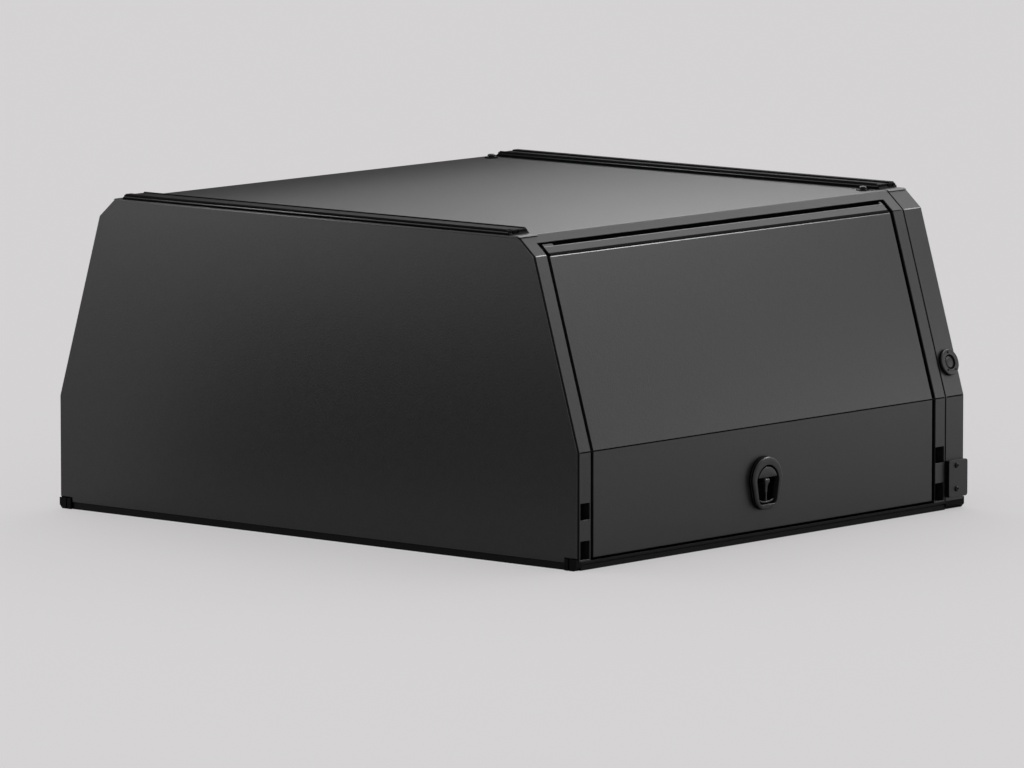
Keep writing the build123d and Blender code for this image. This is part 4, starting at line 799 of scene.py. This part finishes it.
class CANOPY_OT_seams(bpy.types.Operator):
    """Builds the black linings that paint the shade in the gaps round the doors, the painted shade lines
    along the folds and between leaf and door, the hems and the lit folds along each side
    """
    bl_idname = "canopy.seams"
    bl_label = "Build the Seams"

    def execute(self, context):
        finishes(context)
        seams = context.scene.canopy_seams
        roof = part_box("roof_panel")[1].z
        profile = SideProfile(seams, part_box("base_rail_right")[1].x, roof)
        for sign, side in SIDES:
            self.fold_shade_lines(seams, profile, sign, side)
        for sign, side in SIDES:
            flip = np.array([sign, 1])
            self.gap_shade_linings(seams, profile, flip, side)
            self.door_lines(seams, profile, flip, side)
            self.lit_folds(seams, profile, flip, side)
        return {"FINISHED"}

    def fold_shade_lines(self, seams, profile, sign, side):
        # Near-black strips that paint the shade along the knee fold
        reach, proud = seams.line_tall / 2, seams.line_proud
        upright, lean_up = profile.knee, -profile.lean_down
        over, under = profile.knee_at(-proud), profile.knee_at(FOLD_SUNK)
        section = np.array([upright - (0, reach), upright + (proud, FOLD_EASE - reach), over,
                            over + lean_up * (reach - FOLD_EASE), profile.knee + lean_up * reach,
                            under + lean_up * reach, under, upright - (FOLD_SUNK, reach)])
        for node in ("door_skin_", "post_rear_", "post_front_", "front_strip_"):
            low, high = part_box(node + side)
            line = along_y(section * (sign, 1), low.y + seams.line_in, high.y - seams.line_in)
            body = "door" if node == "door_skin_" and sign > 0 else "canopy"
            piece("fold_shade_line_" + node + side, [line], body, "fold_shadow")

    def gap_shade_linings(self, seams, profile, flip, side):
        # Black strips that paint the shade in the hinge's slot and in the gaps beside the door
        low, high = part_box("header_" + side)
        shells = [along_y(SLOT_SHADE_STRIP * flip, low.y + SHORT_OF_HEADER, high.y - SHORT_OF_HEADER)]
        for node, place, way in (("post_rear_", 1, 1), ("post_front_", 0, -1)):
            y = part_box(node + side)[place].y - way * seams.land
            back = y + way * LINING_THICK
            shells.append(self.gap_shade_strip(profile, flip, (y, back), (LINING_OUTER, LINING_INNER)))
        shells.append(self.gap_shade_strip(profile, flip, (back, y - way * seams.lip), (-LIP_PROUD, LIP_SUNK)))
        piece("gap_shade_lining_" + side, shells, "canopy", "seal_rubber")

    def gap_shade_strip(self, profile, flip, ends, depths):
        """A strip down the side's outline, between two places along y and two depths behind the face."""
        rings = []
        for station in (lambda d: profile.upright(LINING_LOW, d), profile.knee_at, profile.edge_at,
                        lambda d: profile.cheek(LINING_HIGH, d)):
            (x, z), (x2, z2) = (station(depth) * flip for depth in depths)
            rings.append([(x, ends[0], z), (x, ends[1], z), (x2, ends[1], z2), (x2, ends[0], z2)])
        return shell(np.array(rings))

    def door_lines(self, seams, profile, flip, side):
        low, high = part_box("door_skin_" + side)
        ends = (low.y + SHORT_OF_DOOR, high.y - SHORT_OF_DOOR)
        body = "door" if flip[0] > 0 else "canopy"
        # A black line of painted shade in the gap between the leaf and the door's top edge
        line = np.array([profile.cheek(LEAF_START, 0.0), profile.cheek(LEAF_START + LEAF_PROUD, -LEAF_PROUD),
                         profile.edge_at(-LEAF_PROUD), profile.lean(LEAF_END - LEAF_PROUD, -LEAF_PROUD),
                         profile.lean(LEAF_END, 0.0), profile.lean(LEAF_END, LEAF_SUNK),
                         profile.edge_at(LEAF_SUNK), profile.cheek(LEAF_START, LEAF_SUNK)])
        piece("leaf_gap_shade_" + side, [along_y(line * flip, *ends)], body, "seal_rubber")
        hems = [self.hem(profile.lean, LEAF_END, seams.hem, LEAN_SLOPE),
                self.hem(profile.cheek, CHEEK_START, seams.hem, CHEEK_SLOPE)]
        piece("door_hems_" + side, [along_y(hem * flip, *ends) for hem in hems], body, "lip_coat")

    def hem(self, face, start, wide, slope):
        """Section of a rolled hem on a sloping face: it rises from the sheet by its slope, so that it turns
        up towards the light, and falls back to the sheet in a third of its width."""
        end = start + HEM_FULL * wide
        return np.array([face(start, 0.0), face(start + wide, -slope * wide), face(end, 0.0),
                         face(end, HEM_SUNK), face(start, HEM_SUNK)])

    def lit_folds(self, seams, profile, flip, side):
        long = profile.cheek_long
        fold = np.array([profile.cheek(long - EDGE_FOOT, 0.0), profile.cheek(long - EDGE_TOP, -EDGE_PROUD),
                         profile.lean(EDGE_TOP, -EDGE_PROUD), profile.lean(EDGE_FOOT, 0.0),
                         profile.edge_at(EDGE_SUNK)])
        for node, coat in EDGE_COATS:
            low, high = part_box(node + side)
            low_y = low.y + seams.land if node == "post_front_" else low.y
            high_y = high.y - seams.land if node == "post_rear_" else high.y
            piece("cheek_fold_" + node + side,
                  [along_y(fold * flip, low_y + seams.line_in, high_y - seams.line_in)],
                  "canopy", coat)


# Lips of a roof rail: how much shorter than the rail they are, and the middle ones' place above the roof
TOP_LIP_SHORT = 18.0 * MM
MID_LIP_SHORT = 9.0 * MM
MID_LIP_OUT = 0.6 * MM
MID_LIP_HIGH = 7.4 * MM
# Lit edge of the end panel under a rail: how far below the roof, its half widths and its half length
PANEL_LIP_DOWN = 3.6 * MM
PANEL_LIP = (0.8 * MM, 1.4 * MM)
PANEL_LIP_REACH = 714.0 * MM
# Black strips that paint the shade in a rail's grooves: height above the roof, half depth, half height and
# how much shorter than the rail
OUTER_GROOVES = ((10.8 * MM, 0.4 * MM, 2.2 * MM, 14.0 * MM), (2.2 * MM, 0.5 * MM, 4.0 * MM, 4.0 * MM))
INNER_GROOVES = ((3.0 * MM, 0.4 * MM, 3.0 * MM, 6.0 * MM),)
# End plugs of a rail: place from its outer face and half width, height, and (end, ease, half height) rows
PLUGS = ((8.0 * MM, 5.0 * MM), (25.0 * MM, 9.0 * MM), (56.0 * MM, 17.0 * MM))
PLUG_HIGH = 7.6 * MM
PLUG_ROWS = np.array([(30.0, 0.0, 4.6), (6.6, 0.0, 4.6), (6.2, 0.6, 4.0)]) * MM
# Section of a rail, from its outer face: toe, wide outer box, slot and narrow inner box
RAIL_WALL = 3.0 * MM
RAIL_GAP = 0.4 * MM
RAIL_TOE = 4.0 * MM
OUTER_BOX = 12.0 * MM
SLOT_EDGE = 20.0 * MM
INNER_EDGE = 30.0 * MM
INNER_BOX = 38.0 * MM
# Folded plate under the rails: thickness, width on the roof, and the flap's length and flare
PLATE_THICK = 0.9 * MM
PLATE_WIDE = 90.0 * MM
FLAP_LONG = 7.0 * MM
FLAP_FLARE = 0.38


class CANOPY_OT_rails(bpy.types.Operator):
    """Builds the roof rails with their lips, the black strips of painted shade in their grooves and the end
    plugs, and the folded plates under them
    """
    bl_idname = "canopy.rails"
    bl_label = "Build the Roof Rails"

    def execute(self, context):
        finishes(context)
        rail = context.scene.canopy_rails
        seams = context.scene.canopy_seams
        for end, sign in (("rear", -1), ("front", 1)):
            low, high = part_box("roof_rail_" + end)
            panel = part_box(end + "_panel")
            outer, inner = (low.y, high.y) if sign < 0 else (high.y, low.y)
            outer -= sign * rail.bead
            roof, top = panel[1].z, high.z
            skin = panel[0].y if sign < 0 else panel[1].y
            wide = high.y - low.y - rail.bead
            self.extrusion(rail, end, sign, outer, wide, roof, top - roof)
            self.plates(seams, end, roof, sorted((outer, outer - sign * wide)))
            self.lips(rail, end, sign, outer, inner, skin, roof, top)
            self.groove_shade_and_plugs(rail, end, sign, outer, inner, roof)
        return {"FINISHED"}

    def extrusion(self, rail, end, sign, outer, wide, roof, tall):
        """The rail as closed bars side by side: base, outer wall, both slot lips, inner box and inner lip.
        Their ends are mitred: the reach falls by the mitre over the rail's height."""
        shells = []
        for near, far, foot, head in (
                (RAIL_TOE, wide, RAIL_GAP, RAIL_WALL), (0.0, OUTER_BOX, RAIL_WALL, tall),
                (OUTER_BOX, SLOT_EDGE, tall - RAIL_WALL, tall),
                (INNER_EDGE, INNER_BOX, tall - 2 * RAIL_WALL, tall - RAIL_WALL),
                (INNER_BOX, wide, RAIL_WALL, tall - RAIL_WALL),
                (wide - RAIL_TOE, wide, tall - RAIL_WALL, tall)):
            corners = np.array([(near, foot), (far, foot), (far, head), (near, head)])
            reach = rail.reach - rail.mitre * corners[:, 1] / tall
            shells.append(shell(np.array([np.column_stack([x * reach, outer - sign * corners[:, 0],
                                                           roof + corners[:, 1]]) for x in (-1, 1)])))
        piece("rail_extrusion_" + end, shells, "canopy", "rail_coat", replaced=["roof_rail_" + end])

    def plates(self, seams, end, roof, ends):
        """A sheet under each end of the rail, and a flap that leaves the cheek as it falls."""
        profile = SideProfile(seams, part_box("base_rail_right")[1].x, roof)
        eave = profile.eave
        over = eave + (0.3 * PLATE_THICK, PLATE_THICK)
        lift = -FLAP_FLARE * FLAP_LONG
        root = eave[0] - PLATE_WIDE
        flat = np.array([(root, roof), eave, over, (root, roof + PLATE_THICK)])
        edge = [profile.cheek(FLAP_LONG, depth) for depth in (lift, lift + PLATE_THICK)]
        flap = np.array([eave, over, *edge])
        for section, name, coat in ((flat, "rail_plate_", "black_powder_coat"),
                                    (flap, "rail_plate_flaps_", "lip_coat")):
            pair = [along_y(section * (x, 1), *ends) for x in (1, -1)]
            piece(name + end, pair, "canopy", coat)

    def lips(self, rail, end, sign, outer, inner, skin, roof, top):
        top_reach, mid_reach = rail.reach - TOP_LIP_SHORT, rail.reach - MID_LIP_SHORT
        lips = [rod_x(y, z, rail.lip, rail.lip, reach) for y, z, reach in (
                (outer - sign * rail.lip, top - rail.lip, top_reach),
                (inner + sign * rail.lip, top - rail.lip, top_reach),
                (outer + sign * MID_LIP_OUT, roof + MID_LIP_HIGH, mid_reach),
                (inner, roof + MID_LIP_HIGH, mid_reach))]
        lips.append(rod_x(skin, roof - PANEL_LIP_DOWN, *PANEL_LIP, PANEL_LIP_REACH))
        piece("rail_lips_" + end, lips, "canopy", "lip_coat")

    def groove_shade_and_plugs(self, rail, end, sign, outer, inner, roof):
        shells = [rod_x(y, roof + high, deep, tall, rail.reach - short, 0.2)
                  for y, rows in ((outer, OUTER_GROOVES), (inner, INNER_GROOVES))
                  for high, deep, tall, short in rows]
        for side in (1, -1):
            for far, wide in PLUGS:
                path = [(side * (rail.reach - short), outer - sign * far, roof + PLUG_HIGH)
                        for short in PLUG_ROWS[:, 0]]
                shells.append(bar(path, wide - PLUG_ROWS[:, 1], PLUG_ROWS[:, 2], ALONG, UP, 0.15))
        piece("rail_groove_shade_and_plugs_" + end, shells, "canopy", "seal_rubber")


# Black strip that paints the shade on a bracket's rear edge: place from its root, half widths, how far it
# stands behind, its ends
EDGE_SHADE_AT = 5.6 * MM
EDGE_SHADE_HALF = (5.4 * MM, 0.5 * MM)
EDGE_SHADE_OUT = 0.2 * MM
EDGE_SHADE_END = 1.0 * MM
# Washer of a roof bolt, then the rows of its neck, in mm, and the knob on it
WASHER_TALL = 2.5 * MM
WASHER_EASE = 0.6 * MM
WASHER_STEP = 0.5 * MM
NECK = ((10.0, 2.6), (8.0, 3.4), (7.4, 5.6), (9.2, 6.4))
KNOB_LOW = 6.4 * MM
KNOB_WIDE = 11.0 * MM
KNOB_SOCKET = (3.4 * MM, 3.0 * MM)
# Small screw beside a roof bolt: its size, and its place from the bolt
SMALL_SCREW = (4.0 * MM, 2.6 * MM, 1.6 * MM, 1.2 * MM)
SMALL_SCREW_OUT = 18.0 * MM
SMALL_SCREW_AHEAD = 16.0 * MM


class CANOPY_OT_fasteners(bpy.types.Operator):
    """Builds the bolts on the front brackets and on the roof, and the black strips of painted shade on the
    brackets' rear edges
    """
    bl_idname = "canopy.fasteners"
    bl_label = "Build the Fasteners"

    def execute(self, context):
        finishes(context)
        sizes = context.scene.canopy_fasteners
        low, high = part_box("bracket_bolts")
        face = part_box("bracket_right")[1].x
        radius = (high.y - low.y) / 2
        head = button_head(radius, high.x - face, sizes.socket, sizes.socket_deep)
        heads = [turned(head, (sign * face, low.y + radius, z), (sign, 0, 0), ALONG, 48)
                 for sign, _ in SIDES for z in (low.z + radius, high.z - radius)]
        piece("bracket_screws", heads, "canopy", "black_steel", replaced=["bracket_bolts"])

        # Black strips of painted shade along the brackets' rear edges
        edge_shades = []
        for sign, side in SIDES:
            low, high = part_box("bracket_" + side)
            x = (low.x if sign > 0 else high.x) + sign * EDGE_SHADE_AT
            path = [(x, low.y - EDGE_SHADE_OUT, z) for z in (low.z + EDGE_SHADE_END, low.z + 2 * EDGE_SHADE_END,
                                                       high.z - 2 * EDGE_SHADE_END, high.z - EDGE_SHADE_END)]
            edge_shades.append(bar(path, *EDGE_SHADE_HALF, ACROSS, ALONG, 0.2))
        piece("bracket_edge_shade", edge_shades, "canopy", "seal_rubber")

        low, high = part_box("roof_bolts")
        washer = (high.y - low.y) / 2
        thin = washer - WASHER_EASE
        rows = [(thin, 0.0), (washer, WASHER_STEP), (washer, WASHER_TALL - WASHER_EASE), (thin, WASHER_TALL)]
        rows += [(wide * MM, tall * MM) for wide, tall in NECK]
        rows += [(wide, tall + KNOB_LOW, *corners) for wide, tall, *corners
                 in button_head(KNOB_WIDE, high.z - low.z - KNOB_LOW, *KNOB_SOCKET)]
        y = low.y + washer
        places = [(sign, sign * (high.x - washer)) for sign, _ in SIDES]
        knobs = [turned(rows, (x, y, low.z), UP, ACROSS, 60) for _, x in places]
        piece("roof_knobs", knobs, "canopy", "black_steel", replaced=["roof_bolts"])
        head = button_head(*SMALL_SCREW)
        screws = [turned(head, (x + sign * SMALL_SCREW_OUT, y + SMALL_SCREW_AHEAD, low.z), UP, ACROSS, 30)
                  for sign, x in places]
        piece("roof_small_screws", screws, "canopy", "black_steel")
        return {"FINISHED"}


# Softboxes: name, power, width, height, place and aim. Flags are black and have no power
SOFTBOXES = (
    ("rear_softbox", 36.0, 1.6, 1.3, (-2.5, -2.9, 1.5), (-0.3, -0.8, 0.5)),
    ("roof_softbox", 3.0, 4.0, 0.5, (-1.3, 1.2, 1.6), (0.6, -1.0, 0.86)),
    ("edge_softbox", 60.0, 1.2, 1.2, (-2.6, -0.8, 3.4), (0.0, -0.6, 0.86)),
    ("fold_softbox", 106.0, 1.5, 1.0, (2.5, 3.05, 3.1), (0.8, 0.0, 0.7)),
    ("eave_softbox", 11.0, 1.2, 0.8, (-1.6, 3.0, 2.9), (0.7, 0.0, 0.86)),
    ("door_softbox", 8.4, 1.4, 0.7, (2.7, 2.7, 0.62), (0.9, 0.3, 0.3)),
)
FLAGS = (
    ("rear_flag", 1.8, 0.7, (-0.2, -1.7, 0.24), (0.0, -0.8, 1.0)),
    ("roof_flag", 4.4, 0.6, (-1.15, 1.2, 1.07), (0.5, 1.2, 1.07)),
)
SUN_POWER = 1.42
SUN_WIDE = math.radians(80.0)
SUN_TURN = (math.radians(28.0), 0.0, math.radians(-130.0))
# Strength of the white light from all round, which the camera and reflections don't see
GLOW = 0.6
FLOOR_RINGS = np.array([2.0, 6.0, 20.0, 80.0])
FLOOR_SPOKES = 64
CAMERA_LENS = 327.87
CAMERA_PLACE = (16.4774, -19.0319, 3.4889)


class CANOPY_OT_stage(bpy.types.Operator):
    """Builds the floor, the lights, the backdrop and the camera"""
    bl_idname = "canopy.stage"
    bl_label = "Build the Studio"

    def execute(self, context):
        stage = context.scene.canopy_stage
        scene = context.scene
        scene.view_settings.view_transform = "Standard"

        turn = np.linspace(0, 2 * np.pi, FLOOR_SPOKES, endpoint=False)
        reach = FLOOR_RINGS[:, None]
        disc = np.stack([reach * np.cos(turn), reach * np.sin(turn), 0.0 * reach * turn], axis=-1)
        points = np.vstack([disc.reshape(-1, 3), [[0.0, 0.0, 0.0]]])
        j = np.arange(FLOOR_SPOKES)
        faces = grid_faces(len(FLOOR_RINGS), FLOOR_SPOKES, False, True)[:, ::-1].tolist()
        middle = np.full(FLOOR_SPOKES, len(points) - 1)
        faces += np.stack([middle, j, (j + 1) % FLOOR_SPOKES], axis=1).tolist()
        mesh = bpy.data.meshes.new("floor")
        mesh.from_pydata(points.tolist(), [], faces)
        mesh.update()
        floor = bpy.data.objects.new("floor", mesh)
        scene.collection.objects.link(floor)
        mesh.materials.append(self.floor_material(stage))

        world = bpy.data.worlds.new("studio")
        scene.world = world
        world.use_nodes = True
        tree = world.node_tree
        tree.nodes.clear()
        rays = add_node(tree, "ShaderNodeLightPath").outputs
        seen = rays["Is Camera Ray"]
        for ray in ("Is Glossy Ray", "Is Transmission Ray"):
            links = [(seen, 0), (rays[ray], 1)]
            seen = add_node(tree, "ShaderNodeMath", links=links, operation="MAXIMUM").outputs[0]
        glow = add_node(tree, "ShaderNodeBackground", {"Color": (1.0, 1.0, 1.0, 1.0), "Strength": GLOW})
        plain = add_node(tree, "ShaderNodeBackground", {"Color": rgba(stage.backdrop), "Strength": 1.0})
        both = add_node(tree, "ShaderNodeMixShader",
                        links=[(seen, 0), (glow.outputs[0], 1), (plain.outputs[0], 2)])
        add_node(tree, "ShaderNodeOutputWorld", links=[(both.outputs[0], "Surface")])

        lamp = bpy.data.lights.new("overhead", "SUN")
        lamp.energy = SUN_POWER
        lamp.angle = SUN_WIDE
        holder = bpy.data.objects.new("overhead", lamp)
        holder.rotation_euler = SUN_TURN
        scene.collection.objects.link(holder)

        for name, power, wide, tall, place, aim in SOFTBOXES:
            lamp = bpy.data.lights.new(name, "AREA")
            lamp.shape = "RECTANGLE"
            lamp.energy = power
            lamp.size = wide
            lamp.size_y = tall
            self.stand_up(scene, bpy.data.objects.new(name, lamp), place, aim)

        dark, tree, shader, place = new_material("black_velvet_flag")
        shader.inputs["Base Color"].default_value = rgba((0.0, 0.0, 0.0))
        shader.inputs["Specular IOR Level"].default_value = 0.0
        for name, wide, tall, place, aim in FLAGS:
            half = np.array([wide, tall]) / 2
            corners = np.array([(-1, -1), (1, -1), (1, 1), (-1, 1)]) * half
            mesh = bpy.data.meshes.new(name)
            mesh.from_pydata(np.column_stack([corners, np.zeros(4)]).tolist(), [], [(0, 1, 2, 3)])
            mesh.materials.append(dark)
            flag = bpy.data.objects.new(name, mesh)
            self.stand_up(scene, flag, place, aim)
            flag.visible_transmission = False
            flag.visible_shadow = False

        camera = bpy.data.cameras.new("camera")
        camera.lens = CAMERA_LENS
        camera.sensor_width = 36.0
        camera.clip_end = 500.0
        holder = bpy.data.objects.new("camera", camera)
        holder.location = CAMERA_PLACE
        holder.rotation_euler = (math.pi / 2 - stage.elevation, 0.0, stage.azimuth)
        scene.collection.objects.link(holder)
        scene.camera = holder
        return {"FINISHED"}

    def stand_up(self, scene, holder, place, aim):
        """Stands a softbox or a flag at a place, turned to its aim. Only reflections show it."""
        holder.location = place
        holder.rotation_euler = (Vector(aim) - Vector(place)).to_track_quat("-Z", "Y").to_euler()
        holder.visible_camera = False
        holder.visible_diffuse = False
        scene.collection.objects.link(holder)

    def floor_material(self, stage):
        """Matt pale board. A share of its colour is even for the camera, which lifts the shadows as wide
        studio light does; the rest takes light and shadow."""
        material, tree, shader, _ = new_material("matt_pale_floor")
        shader.inputs["Base Color"].default_value = rgba(stage.floor)
        shader.inputs["Roughness"].default_value = 0.9
        shader.inputs["Specular IOR Level"].default_value = 0.1
        path = add_node(tree, "ShaderNodeLightPath")
        share = add_node(tree, "ShaderNodeMath", {1: stage.floor_even}, operation="MULTIPLY",
                         links=[(path.outputs["Is Camera Ray"], 0)])
        even = add_node(tree, "ShaderNodeEmission", {"Color": rgba(stage.backdrop), "Strength": 1.0})
        both = add_node(tree, "ShaderNodeMixShader",
                        links=[(share.outputs[0], 0), (shader.outputs["BSDF"], 1), (even.outputs[0], 2)])
        tree.links.new(both.outputs[0], tree.nodes["Material Output"].inputs["Surface"])
        return material


class CANOPY_PT_build(bpy.types.Panel):
    """Lists the canopy's steps and sizes"""
    bl_idname = "CANOPY_PT_build"
    bl_label = "Canopy"
    bl_space_type = "VIEW_3D"
    bl_region_type = "UI"
    bl_category = "Canopy"

    def draw(self, context):
        for step in STEPS:
            self.layout.operator(step.bl_idname)
        for group in GROUPS:
            box = self.layout.box()
            for name in group.__annotations__:
                box.prop(getattr(context.scene, GROUPS[group]), name)


GROUPS = {
    CanopyFinish: "canopy_finish",
    CanopyLatch: "canopy_latch",
    CanopyPort: "canopy_port",
    CanopyFasteners: "canopy_fasteners",
    CanopySeams: "canopy_seams",
    CanopyRails: "canopy_rails",
    CanopyStage: "canopy_stage",
}
STEPS = (
    CANOPY_OT_finish,
    CANOPY_OT_latches,
    CANOPY_OT_port,
    CANOPY_OT_fasteners,
    CANOPY_OT_seams,
    CANOPY_OT_rails,
    CANOPY_OT_stage,
)


def register():
    for kind in (*GROUPS, *STEPS, CANOPY_PT_build):
        bpy.utils.register_class(kind)
    for kind, name in GROUPS.items():
        setattr(bpy.types.Scene, name, bpy.props.PointerProperty(type=kind))


def unregister():
    for name in GROUPS.values():
        delattr(bpy.types.Scene, name)
    for kind in reversed((*GROUPS, *STEPS, CANOPY_PT_build)):
        bpy.utils.unregister_class(kind)


def main():
    register()
    for step in STEPS:
        group, name = step.bl_idname.split(".")
        if getattr(getattr(bpy.ops, group), name)() != {"FINISHED"}:
            raise RuntimeError(step.bl_idname + " did not finish")


if __name__ == "__main__":
    main()
